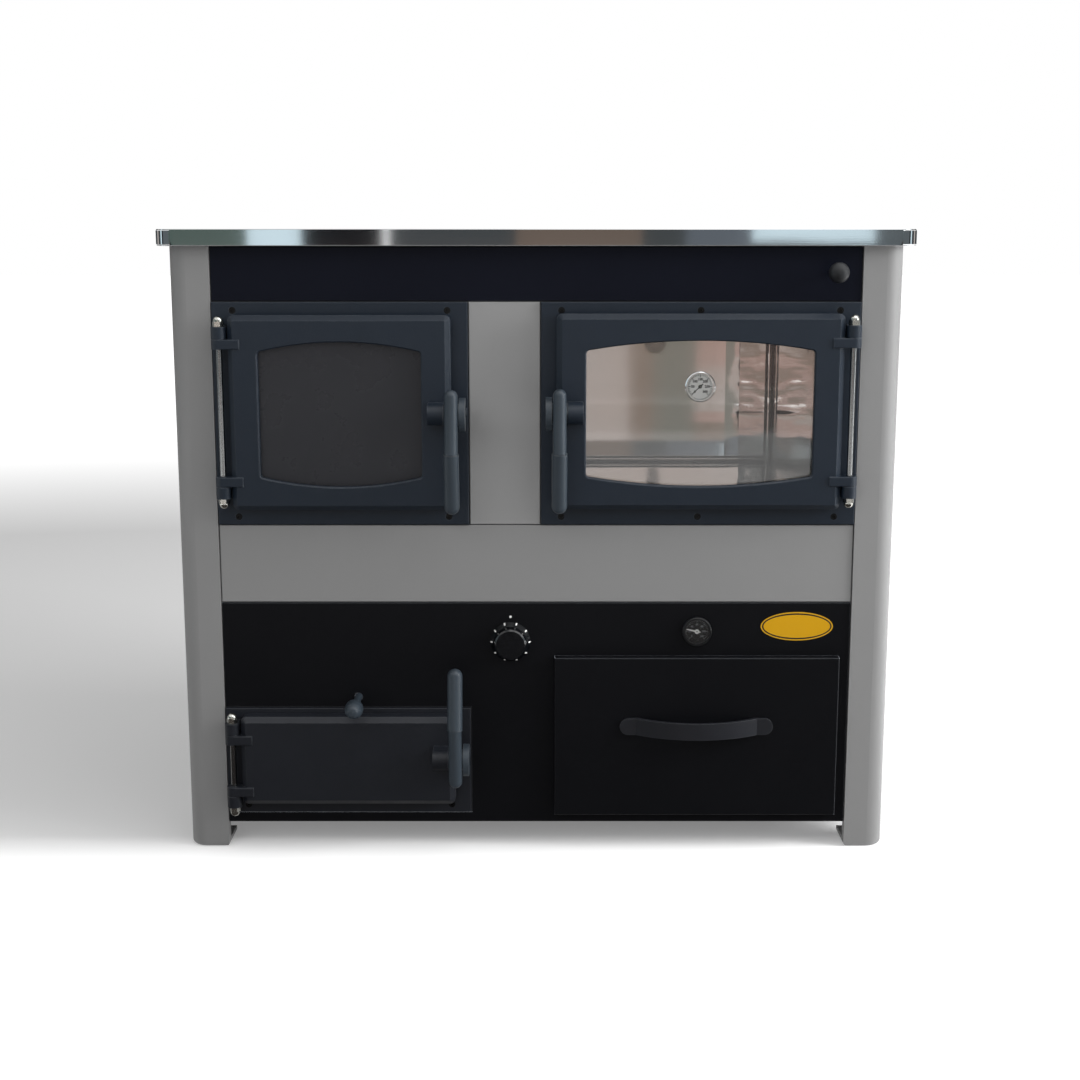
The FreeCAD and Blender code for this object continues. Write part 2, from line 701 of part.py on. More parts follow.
def in_window(door, edge):
    """True for an edge well inside the door's outline."""
    box = edge.BoundBox
    low, high = EDGE_GAP + WINDOW_MARGIN / 2, EDGE_GAP + door.width - WINDOW_MARGIN / 2
    return box.XMin > low and box.XMax < high


def glass_pocket(door, play, y0, y1):
    return door_rect(door, WINDOW_MARGIN - GLASS_LAP + play, y0, y1)


def door_casting(door):
    body = rounded(door_rect(door, 0, DOOR_FRONT, DOOR_BACK), DOOR_CORNER_R, V(0, 1, 0))
    body = body.makeChamfer(DOOR_BEVEL, front_edges(body, DOOR_FRONT))
    groove = door_rect(door, SEAL_INSET, DOOR_BACK - SEAL_DEPTH, DOOR_BACK + SEAL_DEPTH)
    body = body.cut(groove.cut(door_rect(door, SEAL_INSET + SEAL_W, DOOR_FRONT, DOOR_BACK + 2 * SEAL_DEPTH)))
    pocket = glass_pocket(door, 0, DOOR_FRONT + DOOR_WEB, DOOR_BACK + DOOR_T)
    body = body.cut(pocket)
    if door.window:
        body = body.cut(window_prism(door))
        inside = [e for e in front_edges(body, DOOR_FRONT) if in_window(door, e)]
        body = body.makeChamfer(WINDOW_EDGE, inside)
    for z0, z1 in levels(door)[1]:
        strap = block(0, EDGE_GAP + LUG_REACH, PIN_Y - KNUCKLE_R, PIN_Y + KNUCKLE_R, z0, z1)
        strap = rounded(strap, LUG_EDGE, V(1, 0, 0))
        body = body.fuse([upright(z0, z1, KNUCKLE_R), strap]).cut(upright(z0 - LUG_H, z1 + LUG_H, PIN_R + RUN))
    u1 = door.handle_u - HUB_W / 2 - SIDE_PLAY
    u0 = u1 - BOSS_W
    boss = rod((u0, PIVOT_Y, door.pivot_z), (u1, PIVOT_Y, door.pivot_z), BOSS_R)
    root = block(u0, min(u1, EDGE_GAP + door.width - DOOR_BEVEL), PIVOT_Y, DOOR_FRONT + DOOR_WEB / 2,
                 door.pivot_z - BOSS_R, door.pivot_z + BOSS_R)
    body = body.fuse([boss, root])
    pin_hole = rod((u0 - BOSS_W, PIVOT_Y, door.pivot_z), (u1 + BOSS_W, PIVOT_Y, door.pivot_z), HANDLE_PIN_R + RUN)
    return body.cut(pin_hole).removeSplitter()


def door_seal(door):
    y0, y1 = DOOR_BACK - SEAL_DEPTH, FRAME_FRONT - FIT
    rope = rounded(door_rect(door, SEAL_INSET + FIT, y0, y1), SEAL_W / 2, V(0, 1, 0))
    return rope.cut(rounded(door_rect(door, SEAL_INSET + SEAL_W - FIT, y0 - SEAL_W, y1 + SEAL_W), FIT, V(0, 1, 0)))


def glass_clips(door):
    """Four small blocks that hold the pane against the web of the door."""
    edge = WINDOW_MARGIN - GLASS_LAP
    y0 = DOOR_FRONT + DOOR_WEB + GLASS_T
    clips = []
    for u in (EDGE_GAP + edge, EDGE_GAP + door.width - edge - CLIP_W):
        for z in (door.z0 + CLIP_AT, door.z1 - CLIP_AT):
            clips.append(block(u, u + CLIP_W, y0, y0 + CLIP_T, z - CLIP_H / 2, z + CLIP_H / 2))
    return clips


def handle(door):
    """The cranked lever: a bar ahead of its hub and cam, with a short nose, an elbow and a grip."""
    u, z, s = door.handle_u, door.pivot_z, door.grip
    arm_y = PIVOT_Y - ARM_OUT
    nose = (u, arm_y, z - s * (HANDLE_SHORT - ARM_R))
    elbow = (u, arm_y - ELBOW_OUT, z + s * ELBOW_DROP)
    tip = (u, arm_y + GRIP_IN, z + s * (HANDLE_LONG - GRIP_R))
    hub = rod((u - HUB_W / 2, PIVOT_Y, z), (u + HUB_W / 2, PIVOT_Y, z), HUB_R)
    lever = capsule(nose, elbow, ARM_R).fuse([capsule(elbow, tip, GRIP_R, flat_start=True), hub, cam(door)])
    pin_hole = rod((u - HUB_W, PIVOT_Y, z), (u + HUB_W / 2 - PIN_END, PIVOT_Y, z), HANDLE_PIN_R + RUN)
    return lever.cut(pin_hole).removeSplitter()


def handle_pin(door):
    u0 = door.handle_u - HUB_W / 2 - SIDE_PLAY - BOSS_W
    return rod((u0, PIVOT_Y, door.pivot_z), (door.handle_u + HUB_W / 2 - PIN_END - RUN, PIVOT_Y, door.pivot_z),
               HANDLE_PIN_R)


def tongue(door):
    """The catch on the frame: a round-nosed tongue that stands in the notch of the lever's cam."""
    u0 = door.handle_u + HUB_W / 2
    nose_y = PIVOT_Y + TONGUE_REACH
    bar = block(u0, u0 + CAM_W, nose_y, PANEL_BACK - FRAME_T / 2, door.pivot_z - TONGUE_H / 2,
                door.pivot_z + TONGUE_H / 2)
    nose = [e for e in front_edges(bar, nose_y) if abs(e.Vertexes[0].Z - e.Vertexes[1].Z) < 1e-6]
    return bar.makeFillet(TONGUE_H / 2 - FIT, nose)


def cam(door):
    """The round cam beside the lever, with a notch that clears the tongue over the lever's swing."""
    u0, z = door.handle_u + HUB_W / 2, door.pivot_z
    disc = rod((u0, PIVOT_Y, z), (u0 + CAM_W, PIVOT_Y, z), CAM_R)
    half = TONGUE_H / 2 + CAM_PLAY
    inner, outer = TONGUE_REACH - CAM_PLAY, 2 * CAM_R
    swing = math.radians(LEVER_SWING)
    along, across = (math.cos(swing), math.sin(swing)), (-math.sin(swing), math.cos(swing))
    corners = [(inner, -half), (outer, -half)]
    corners += [(r * along[0] + half * across[0], r * along[1] + half * across[1]) for r in (outer, inner)]
    points = [V(u0 - CAM_W, PIVOT_Y + y, z - door.grip * h) for y, h in corners]
    notch = Part.Face(Part.makePolygon(points + [points[0]])).extrude(V(3 * CAM_W, 0, 0))
    return disc.cut(notch)


def screw_places(door):
    """Frame screw centres as (x, z)."""
    first, last = SCREW_SIDE, door.frame_u - SCREW_FREE
    columns = [first + (last - first) * i / (door.screws - 1) for i in range(door.screws)]
    rows = [door.frame_z0 + SCREW_INSET]
    if door.window:
        rows.append(door.frame_z1 - SCREW_INSET)
    return [(door_x(door, u), z) for u in columns for z in rows]


def screw(x, z, play=0.0):
    """A countersunk screw through the frame and front wall, or its hole when given some play."""
    head, shank = SCREW_HEAD_R + play, SCREW_R + play
    profile = [(0, 0), (head, 0), (shank, SCREW_SINK), (shank, FRAME_T + WALL_T), (0, FRAME_T + WALL_T)]
    body = turned(profile, (x, FRAME_FRONT, z), (0, 1, 0))
    if play:
        return body
    socket = aimed(hex_bar(SCREW_HEX, 2 * SCREW_HEX_D), (x, FRAME_FRONT - SCREW_HEX_D, z), (0, 1, 0))
    return body.cut(socket)


def door_frame(door):
    """The cast frame with its mouth, hinge knuckles, catch tongue and screw holes."""
    plate = block(PIN_X - PANEL_HALF, door.frame_u, FRAME_FRONT, PANEL_BACK, door.frame_z0, door.frame_z1)
    plate = plate.makeFillet(PANEL_FOLD, front_edges(plate, FRAME_FRONT))
    plate = plate.cut(door_rect(door, MOUTH_INSET, FRAME_FRONT - FRAME_T, PANEL_BACK + FRAME_T))
    for z0, z1 in levels(door)[0]:
        web = block(-WEB_W / 2, WEB_W / 2, PIN_Y, PANEL_BACK - FRAME_T / 2, z0, z1)
        plate = plate.fuse([upright(z0, z1, KNUCKLE_R), web]).cut(upright(z0 - LUG_GAP, z1 + LUG_GAP, PIN_R + RUN))
    frame = placed(plate.fuse(tongue(door)).removeSplitter(), door)
    return frame.cut([screw(x, z, RUN) for x, z in screw_places(door)])


def hinge_pin(door):
    (low_top, top), (low, low_high) = levels(door)[0]
    return placed(upright(low - NUT_H + PIN_END, top + NUT_H - PIN_END, PIN_R), door)


def acorn_nut(door, z, up):
    """A hexagon nut with a domed cap, closed over the end of the hinge pin."""
    dome = capsule((0, 0, 0), (0, 0, NUT_H - NUT_FLATS / 2), NUT_FLATS / 2, flat_start=True)
    nut = hex_bar(NUT_FLATS, NUT_HEX).fuse(dome)
    nut = nut.cut(rod((0, 0, -NUT_HEX), (0, 0, NUT_H - PIN_END + RUN), PIN_R + RUN))
    return placed(aimed(nut.removeSplitter(), (0, PIN_Y, z), (0, 0, 1 if up else -1)), door)


def make_doors():
    pins, nuts, screws = [], [], []
    for name, door in DOORS.items():
        export(f"{name}_door_frame", door_frame(door))
        export(f"{name}_door", placed(door_casting(door), door))
        export(f"{name}_door_seal", placed(door_seal(door), door))
        export(f"{name}_handle", placed(handle(door), door))
        export(f"{name}_handle_pin", placed(handle_pin(door), door))
        if door.window:
            pane = glass_pocket(door, PANEL_GAP, DOOR_FRONT + DOOR_WEB, DOOR_FRONT + DOOR_WEB + GLASS_T)
            pane = placed(pane, door)
            if name == "oven":
                x, z = oven_gauge_place()
                pane = pane.cut(through(x, z, OVEN_GAUGE_STEM_R + FIT).fuse(
                    rod((x, DOOR_FRONT, z), (x, DOOR_BACK, z), OVEN_GAUGE_STEM_R + FIT)))
            export(f"{name}_glass", pane)
            export(f"{name}_glass_clips", *[placed(clip, door) for clip in glass_clips(door)])
        (knuckle_top, knuckle_low) = levels(door)[0]
        pins.append(hinge_pin(door))
        nuts.append(acorn_nut(door, knuckle_top[1], True))
        nuts.append(acorn_nut(door, knuckle_low[0], False))
        screws += [screw(x, z) for x, z in screw_places(door)]
    export("hinge_pins", *pins)
    export("hinge_nuts", *nuts)
    export("frame_screws", *screws)


# Boiler, grate and ash pan

def hollow_wall(x0, x1, y0, y1, z0, z1, solid_foot=0.0):
    """A double steel water wall: an outer box less the water space."""
    t = BOILER_SHEET
    wall = block(x0, x1, y0, y1, z0, z1)
    return wall.cut(block(x0 + t, x1 - t, y0 + t, y1 - t, z0 + t + solid_foot, z1 - t))


def make_boiler():
    w = BOILER_WALL
    ledges = [block(x, x + LEDGE_BAR, FIRE_FRONT, FIRE_BACK, GRATE_Z - LEDGE_BAR, GRATE_Z)
              for x in (FIRE_LEFT, FIRE_RIGHT - LEDGE_BAR)]
    left = hollow_wall(FIRE_LEFT - w, FIRE_LEFT, WALL_BACK, BOILER_BACK, BASE_TOP, BOILER_TOP)
    right = hollow_wall(FIRE_RIGHT, FIRE_RIGHT + w, WALL_BACK, BOILER_BACK, BASE_TOP, BOILER_SIDE_TOP)
    back = hollow_wall(FIRE_LEFT, FIRE_RIGHT, FIRE_BACK, BOILER_BACK, BASE_TOP, BOILER_TOP)
    front_low = DOORS["ash"].frame_z1 + PAN_CLEAR
    front_high = DOORS["firebox"].z0 + MOUTH_INSET - PAN_CLEAR
    front = hollow_wall(FIRE_LEFT, FIRE_RIGHT, WALL_BACK, FIRE_FRONT, front_low, front_high, BOILER_FRONT_SOLID)
    front = front.cut(rod((SHAKER_X, WALL_BACK - w, SHAKER_Z), (SHAKER_X, FIRE_FRONT + w, SHAKER_Z),
                          SHAKER_ROD_R + FIT))
    sockets = []
    for x, z, outer, bore in SOCKETS:
        socket = rod((x, BOILER_BACK, z), (x, BACK + SOCKET_OUT, z), outer)
        sockets.append(socket.cut(rod((x, BACK + SOCKET_OUT - SOCKET_L, z), (x, BACK + SOCKET_L, z), bore)))
    export("boiler_walls", left, right, back, front, *ledges)
    export("boiler_sockets", *sockets)


def make_grate():
    half = FIREBOX_W / 2 - GRATE_PLAY
    y0, y1 = FIRE_FRONT + GRATE_FRONT, FIRE_BACK - GRATE_BACK
    grate = block(FIREBOX_X - half, FIREBOX_X + half, y0, y1, GRATE_Z, GRATE_Z + GRATE_T)
    pitch = GRATE_BAR + GRATE_SLOT
    count = int((2 * half - 2 * GRATE_RIM) // pitch)
    first = FIREBOX_X - count * pitch / 2
    slots = [block(first + i * pitch, first + i * pitch + GRATE_SLOT, y0 + GRATE_RIM, y1 - GRATE_RIM,
                   GRATE_Z - GRATE_T, GRATE_Z + 2 * GRATE_T) for i in range(count)]
    grate = grate.cut(slots)
    eye = block(SHAKER_X - GRATE_RIM, SHAKER_X + GRATE_RIM, y0, y0 + GRATE_RIM, SHAKER_Z - GRATE_BAR, GRATE_Z)
    eye = eye.cut(rod((SHAKER_X, y0 - GRATE_RIM, SHAKER_Z), (SHAKER_X, y0 + 2 * GRATE_RIM, SHAKER_Z),
                      SHAKER_ROD_R + RUN))
    export("grate", grate, eye)

    tip = PANEL_FRONT - SHAKER_OUT
    bar = rod((SHAKER_X, tip + SHAKER_KNOB_L, SHAKER_Z), (SHAKER_X, y0 + GRATE_RIM, SHAKER_Z), SHAKER_ROD_R)
    knob = [(0, 0)]
    for i in range(1, SHAKER_KNOB_RINGS):
        a = math.pi * i / SHAKER_KNOB_RINGS
        knob.append((SHAKER_KNOB_R * math.sin(a) ** 0.8, SHAKER_KNOB_L * (1 - math.cos(a)) / 2))
    knob.append((SHAKER_ROD_R, SHAKER_KNOB_L))
    knob.append((0, SHAKER_KNOB_L))
    egg = turned(knob, (SHAKER_X, tip, SHAKER_Z), (0, 1, 0))
    export("grate_shaker", bar.fuse(egg).removeSplitter())


def tray(x0, x1, y0, y1, z0, z1, t):
    """An open-topped sheet box."""
    return block(x0, x1, y0, y1, z0, z1).cut(block(x0 + t, x1 - t, y0 + t, y1 - t, z0 + t, z1 + t))


def make_ash_pan():
    pan = tray(FIREBOX_X - PAN_HALF, FIREBOX_X + PAN_HALF, PAN_FRONT, PAN_BACK_Y, PAN_Z, PAN_Z + PAN_H, PAN_T)
    export("ash_pan", pan)


# Oven and flue

def cove(corner, along, inward, length):
    """A hollow-faced strip that rounds an inside corner; along and inward point away from the corner."""
    a, b = along * OVEN_COVE, inward * OVEN_COVE
    middle = corner + (a + b) * (1 - math.sqrt(0.5))
    edges = [Part.makeLine(corner, corner + a), Part.Arc(corner + a, middle, corner + b).toShape(),
             Part.makeLine(corner + b, corner)]
    return prism(edges, length)


def oven_coves():
    """Rounded corners where the liner's rear sheet meets its sides, floor and roof."""
    tall = V(0, 0, OVEN_TOP - OVEN_FLOOR)
    wide = V(OVEN_RIGHT - OVEN_LEFT - 2 * OVEN_COVE, 0, 0)
    forward, start = V(0, -1, 0), OVEN_LEFT + OVEN_COVE
    return [cove(V(OVEN_LEFT, OVEN_BACK, OVEN_FLOOR), V(1, 0, 0), forward, tall),
            cove(V(OVEN_RIGHT, OVEN_BACK, OVEN_FLOOR), V(-1, 0, 0), forward, tall),
            cove(V(start, OVEN_BACK, OVEN_FLOOR), V(0, 0, 1), forward, wide),
            cove(V(start, OVEN_BACK, OVEN_TOP), V(0, 0, -1), forward, wide)]


def make_oven():
    """The stainless liner, welded sheets open to the front with rounded rear corners."""
    t = OVEN_T
    floor = block(OVEN_LEFT - t, OVEN_RIGHT + t, WALL_BACK, OVEN_BACK + t, OVEN_FLOOR - t, OVEN_FLOOR)
    roof = block(OVEN_LEFT - t, OVEN_RIGHT + t, WALL_BACK, OVEN_BACK + t, OVEN_TOP, OVEN_TOP + t)
    left = block(OVEN_LEFT - t, OVEN_LEFT, WALL_BACK, OVEN_BACK + t, OVEN_FLOOR, OVEN_TOP)
    right = block(OVEN_RIGHT, OVEN_RIGHT + t, WALL_BACK, OVEN_BACK + t, OVEN_FLOOR, OVEN_TOP)
    rear = block(OVEN_LEFT, OVEN_RIGHT, OVEN_BACK, OVEN_BACK + t, OVEN_FLOOR, OVEN_TOP)
    export("oven_box", floor, roof, left, right, rear, *oven_coves())


def make_flue():
    t = CASING_T
    x0 = FIRE_RIGHT + BOILER_WALL
    floor = block(x0, CASING_SIDE, WALL_BACK, BACK_IN, CASING_FLOOR - t, CASING_FLOOR)
    side = block(CASING_SIDE, CASING_SIDE + t, WALL_BACK, BACK_IN, CASING_FLOOR - t, LEDGE_TOP - LEDGE_T)
    y1 = OVEN_BACK - t
    stand, head = OVEN_TOP + OVEN_T, LEDGE_TOP - LEDGE_T
    partition = block(OVEN_LEFT, CASING_SIDE, y1 - t, y1, stand, head)
    hole_x, hole_z = DAMPER_X - DAMPER_HOLE_W / 2, (stand + head) / 2
    hole_h = head - stand - 2 * (DAMPER_LAP + DAMPER_MARGIN)
    partition = partition.cut(block(hole_x - DAMPER_HOLE_W / 2, hole_x + DAMPER_HOLE_W / 2, y1 - 2 * t, y1 + t,
                                    hole_z - hole_h / 2, hole_z + hole_h / 2))
    export("flue_casing", floor, side, partition)

    start, end = (FLUE_X, BACK_IN, FLUE_Z), (FLUE_X, BACK + FLUE_REACH, FLUE_Z)
    export("flue_collar", rod(start, end, FLUE_R + FLUE_T).cut(rod(start, end, FLUE_R)))

    half_w, half_h = DAMPER_HOLE_W / 2 + DAMPER_LAP, hole_h / 2 + DAMPER_LAP
    plate_y = y1 - t - FIT - DAMPER_T
    plate = block(hole_x - half_w, hole_x + half_w, plate_y, plate_y + DAMPER_T, hole_z - half_h, hole_z + half_h)
    ball_y = PANEL_FRONT - BALL_OUT + BALL_R
    bar = rod((DAMPER_X, ball_y, DAMPER_Z), (DAMPER_X, plate_y, DAMPER_Z), DAMPER_ROD_R)
    export("damper_rod", bar.fuse(plate).removeSplitter())
    neck = rod((DAMPER_X, ball_y, DAMPER_Z), (DAMPER_X, ball_y + BALL_NECK_L, DAMPER_Z), BALL_NECK_R)
    ball = Part.makeSphere(BALL_R, V(DAMPER_X, ball_y, DAMPER_Z)).fuse(neck)
    socket = rod((DAMPER_X, ball_y, DAMPER_Z), (DAMPER_X, ball_y + 2 * BALL_R, DAMPER_Z), DAMPER_ROD_R + RUN)
    export("damper_knob", ball.cut(socket).removeSplitter())


# Wood drawer

def make_drawer():
    x0, x1 = DRAWER_LEFT, DRAWER_RIGHT
    t = DRAWER_SHEET
    pan = block(x0, x1, DRAWER_FRONT_Y, DRAWER_FRONT_Y + DRAWER_FRONT_T, DRAWER_Z, DRAWER_Z + DRAWER_H)
    pan = pan.makeFillet(PANEL_FOLD, front_edges(pan, DRAWER_FRONT_Y))
    pan = pan.cut(block(x0 + t, x1 - t, DRAWER_FRONT_Y + t, PANEL_BACK, DRAWER_Z + t, DRAWER_Z + DRAWER_H - t))
    export("drawer_front", pan)

    half = DRAWER_BOX_HALF
    box = tray(DRAWER_X - half, DRAWER_X + half, DRAWER_BOX_FRONT, DRAWER_BOX_BACK,
               DRAWER_BOX_Z, DRAWER_BOX_Z + DRAWER_BOX_H, t)
    export("drawer_box", box)

    rails = []
    for side in (-1, 1):
        edge = DRAWER_X + side * half
        low, high = sorted((edge, edge - side * RUNNER_W))
        foot = block(low, high, WALL_BACK, BACK_IN, BASE_TOP, BASE_TOP + PANEL_T)
        stem_x = low if side < 0 else high - PANEL_T
        stem = block(stem_x, stem_x + PANEL_T, WALL_BACK, BACK_IN, BASE_TOP, DRAWER_BOX_Z)
        track = block(low, high, WALL_BACK, BACK_IN, DRAWER_BOX_Z - PANEL_T, DRAWER_BOX_Z)
        rails.append(stem.fuse([foot, track]).removeSplitter())
    export("drawer_runners", *rails)
    export("drawer_handle", bow_handle())


def bow_handle():
    """A flat strip bowed out between two round-ended tabs."""
    half, bend = BOW_L / 2, BOW_L / 2 - BOW_TAB
    y, t = DRAWER_FRONT_Y, BOW_T
    outside = [V(-half, y, 0), V(-half, y - t, 0), V(-bend, y - t, 0)]
    crown = V(0, y - BOW_OUT - t, 0)
    inside = V(0, y - BOW_OUT, 0)
    root = bend - t
    edges = [
        Part.makeLine(outside[0], outside[1]),
        Part.makeLine(outside[1], outside[2]),
        Part.Arc(outside[2], crown, V(bend, y - t, 0)).toShape(),
        Part.makeLine(V(bend, y - t, 0), V(half, y - t, 0)),
        Part.makeLine(V(half, y - t, 0), V(half, y, 0)),
        Part.makeLine(V(half, y, 0), V(root, y, 0)),
        Part.Arc(V(root, y, 0), inside, V(-root, y, 0)).toShape(),
        Part.makeLine(V(-root, y, 0), outside[0]),
    ]
    strip = prism(edges, V(0, 0, BOW_H))
    strip.translate(V(DRAWER_X, 0, BOW_Z - BOW_H / 2))
    ends = rounded(block(DRAWER_X - half, DRAWER_X + half, y - 2 * BOW_OUT, y + BOW_OUT, BOW_Z - BOW_H / 2,
                         BOW_Z + BOW_H / 2), BOW_H / 2 - RUN, V(0, 1, 0))
    return strip.common(ends)


# Thermostat and gauges

def make_thermostat():
    half = THERMOSTAT_W / 2
    case = block(KNOB_X - half, KNOB_X + half, WALL_BACK, WALL_BACK + THERMOSTAT_D, KNOB_Z - half, KNOB_Z + half)
    case = rounded(case, PILLAR_T, V(0, 1, 0))
    stem_end = WALL_BACK + THERMOSTAT_D / 2
    case = case.cut(rod((KNOB_X, FRONT, KNOB_Z), (KNOB_X, stem_end + FIT, KNOB_Z), KNOB_STEM_R + RUN))
    export("thermostat_body", case)

    back = PANEL_FRONT - FIT
    profile = [(0, 0), (KNOB_CAP_R - KNOB_CAP_EDGE, 0), (KNOB_CAP_R, KNOB_CAP_EDGE),
               (KNOB_CAP_R + KNOB_DRAFT, KNOB_OUT - KNOB_SKIRT), (KNOB_R, KNOB_OUT - KNOB_CAP_EDGE),
               (KNOB_R, KNOB_OUT), (0, KNOB_OUT)]
    knob = turned(profile, (KNOB_X, back - KNOB_OUT, KNOB_Z), (0, 1, 0))
    stem = rod((KNOB_X, back, KNOB_Z), (KNOB_X, stem_end, KNOB_Z), KNOB_STEM_R)
    export("thermostat_knob", knob.fuse(stem).removeSplitter())


def gauge_case(x, y, z, cup_r, depth, stem_r):
    """A dial case: back cup or stem, bezel ring, dial floor and the staff that carries the needle."""
    tail = cup_r if cup_r else stem_r
    rim = GAUGE_R - GAUGE_BEZEL
    dial = depth + PANEL_T
    front = depth + GAUGE_PROUD
    profile = [(0, 0), (tail, 0), (tail, depth), (GAUGE_R, depth), (GAUGE_R, front - GAUGE_EDGE), (GAUGE_R - GAUGE_EDGE, front),
               (rim, front), (rim, dial), (STAFF_R, dial), (STAFF_R, dial + NEEDLE_LIFT + 2 * NEEDLE_T),
               (0, dial + NEEDLE_LIFT + 2 * NEEDLE_T)]
    return turned(profile, (x, y + depth, z), (0, -1, 0))


def gauge_lens(x, y, z):
    front = y - GAUGE_PROUD + GAUGE_EDGE
    return rod((x, front, z), (x, front + LENS_T, z), GAUGE_R - GAUGE_BEZEL)


def gauge_needle(x, y, z, degrees):
    """A pointer with a short tail, turned clockwise from the top as seen from the front."""
    y1 = y - PANEL_T - NEEDLE_LIFT
    y0 = y1 - NEEDLE_T
    reach = GAUGE_R - GAUGE_BEZEL - NEEDLE_HUB_R
    half = NEEDLE_W / 2
    points = [V(-half, y0, -reach / 3), V(half, y0, -reach / 3), V(half / 3, y0, reach), V(-half / 3, y0, reach)]
    pointer = Part.Face(Part.makePolygon(points + [points[0]])).extrude(V(0, NEEDLE_T, 0))
    hub = rod((0, y0, 0), (0, y1, 0), NEEDLE_HUB_R)
    needle = pointer.fuse(hub).cut(rod((0, y0 - NEEDLE_T, 0), (0, y1 + NEEDLE_T, 0), STAFF_R + RUN))
    needle.rotate(V(0, 0, 0), V(0, 1, 0), degrees)
    needle.translate(V(x, 0, z))
    return needle.removeSplitter()


def oven_gauge_place():
    door = DOORS["oven"]
    return door_x(door, EDGE_GAP + door.width / 2), (door.z0 + door.z1) / 2 + OVEN_GAUGE_RISE


def make_gauges():
    export("boiler_gauge_case", gauge_case(GAUGE_X, PANEL_FRONT, GAUGE_Z, GAUGE_CUP_R, GAUGE_DEPTH, 0))
    export("boiler_gauge_lens", gauge_lens(GAUGE_X, PANEL_FRONT, GAUGE_Z))
    export("boiler_gauge_needle", gauge_needle(GAUGE_X, PANEL_FRONT, GAUGE_Z, BOILER_NEEDLE_DEG))

    x, z = oven_gauge_place()
    y = DOOR_FRONT + DOOR_WEB
    stem = GLASS_T + OVEN_GAUGE_NUT_T
    nut = rod((x, y + GLASS_T, z), (x, y + stem, z), OVEN_GAUGE_NUT_R)
    nut = nut.cut(rod((x, y, z), (x, y + 2 * stem, z), OVEN_GAUGE_STEM_R))
    export("oven_gauge_case", gauge_case(x, y, z, 0, stem, OVEN_GAUGE_STEM_R), nut)
    export("oven_gauge_lens", gauge_lens(x, y, z))
    export("oven_gauge_needle", gauge_needle(x, y, z, OVEN_NEEDLE_DEG))


os.makedirs("parts", exist_ok=True)
make_pillars()
make_side_panels()
make_back_panel()
make_base()
make_front()
make_hob()
make_doors()
make_boiler()
make_grate()
make_ash_pan()
make_oven()
make_flue()
make_drawer()
make_thermostat()
make_gauges()
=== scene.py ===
import bpy
import bmesh
import json
import math
from mathutils import Matrix, Vector


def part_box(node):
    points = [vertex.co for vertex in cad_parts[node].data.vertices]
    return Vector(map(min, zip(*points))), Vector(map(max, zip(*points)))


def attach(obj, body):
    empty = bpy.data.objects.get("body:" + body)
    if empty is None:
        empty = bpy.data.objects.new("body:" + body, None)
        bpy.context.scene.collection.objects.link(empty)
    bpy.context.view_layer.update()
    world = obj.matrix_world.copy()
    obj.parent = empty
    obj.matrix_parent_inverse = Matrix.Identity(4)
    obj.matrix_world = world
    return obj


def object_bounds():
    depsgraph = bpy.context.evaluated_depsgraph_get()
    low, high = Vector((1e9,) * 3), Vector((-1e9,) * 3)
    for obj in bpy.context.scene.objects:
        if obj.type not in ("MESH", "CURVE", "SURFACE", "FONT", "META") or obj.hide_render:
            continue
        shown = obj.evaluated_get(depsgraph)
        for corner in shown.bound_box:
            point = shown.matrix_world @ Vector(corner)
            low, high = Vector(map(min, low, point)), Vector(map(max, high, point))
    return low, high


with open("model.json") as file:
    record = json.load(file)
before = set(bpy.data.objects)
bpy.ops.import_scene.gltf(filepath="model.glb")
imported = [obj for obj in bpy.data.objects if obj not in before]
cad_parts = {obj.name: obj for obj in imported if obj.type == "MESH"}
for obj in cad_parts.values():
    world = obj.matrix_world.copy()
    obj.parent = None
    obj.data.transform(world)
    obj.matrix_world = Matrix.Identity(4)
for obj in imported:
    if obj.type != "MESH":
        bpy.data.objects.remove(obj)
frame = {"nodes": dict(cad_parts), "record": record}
CAD_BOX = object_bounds()
NODES = frame["nodes"]
MM = 0.001
WHITE = (1.0, 1.0, 1.0)

# Camera at the photograph's place and angle
CAMERA_AT = (0.0049, -2.500, 0.850)
CAMERA_TILT = 79.4
LENS_MM = 55.0
SENSOR_MM = 36.0

# Floor: its colour and glow, and the spans over which the glow rises to white away from the stove
FLOOR_COLOR = (0.80, 0.80, 0.80)
FLOOR_HALF = 30.0
FLOOR_GLOW = 0.19
FADE_FROM = (-0.9, 0.0, 0.0)
FADE_FAR = (2.2, 4.6)
FADE_FRONT = (-0.26, -0.50)
FADE_RIGHT = (0.46, 0.90)

# Light: the sky's strength, the lamps by place, size and watts, and those that reflections leave out
SKY_FILL = 0.28
LAMPS = {
    "Key": ((3.4, -1.7, 1.9), 1.5, 40.0),
    "Side": ((2.8, -0.6, 1.2), 1.2, 80.0),
    "Top": ((1.2, -1.2, 3.2), 2.6, 28.0),
    "Fill": ((-1.4, -4.4, 2.4), 3.0, 60.0),
}
UNSEEN_LAMPS = ("Side", "Fill")

# Colours of the cards that only reflections see
DARK = (0.012, 0.013, 0.015)
UMBER = (0.050, 0.044, 0.042)
SLATE = (0.13, 0.15, 0.16)
DUSK = (0.070, 0.078, 0.082)
WARM = (0.18, 0.14, 0.115)
PALE = (0.14, 0.16, 0.185)
MOSS = (0.11, 0.15, 0.135)
ICE = (0.82, 1.0, 1.08)
GLINT = (8.0, 8.3, 8.3)
CREAM = (0.62, 0.56, 0.53)
TAN = (0.36, 0.30, 0.26)
SAGE = (0.30, 0.30, 0.27)
ROSE = (0.60, 0.45, 0.41)

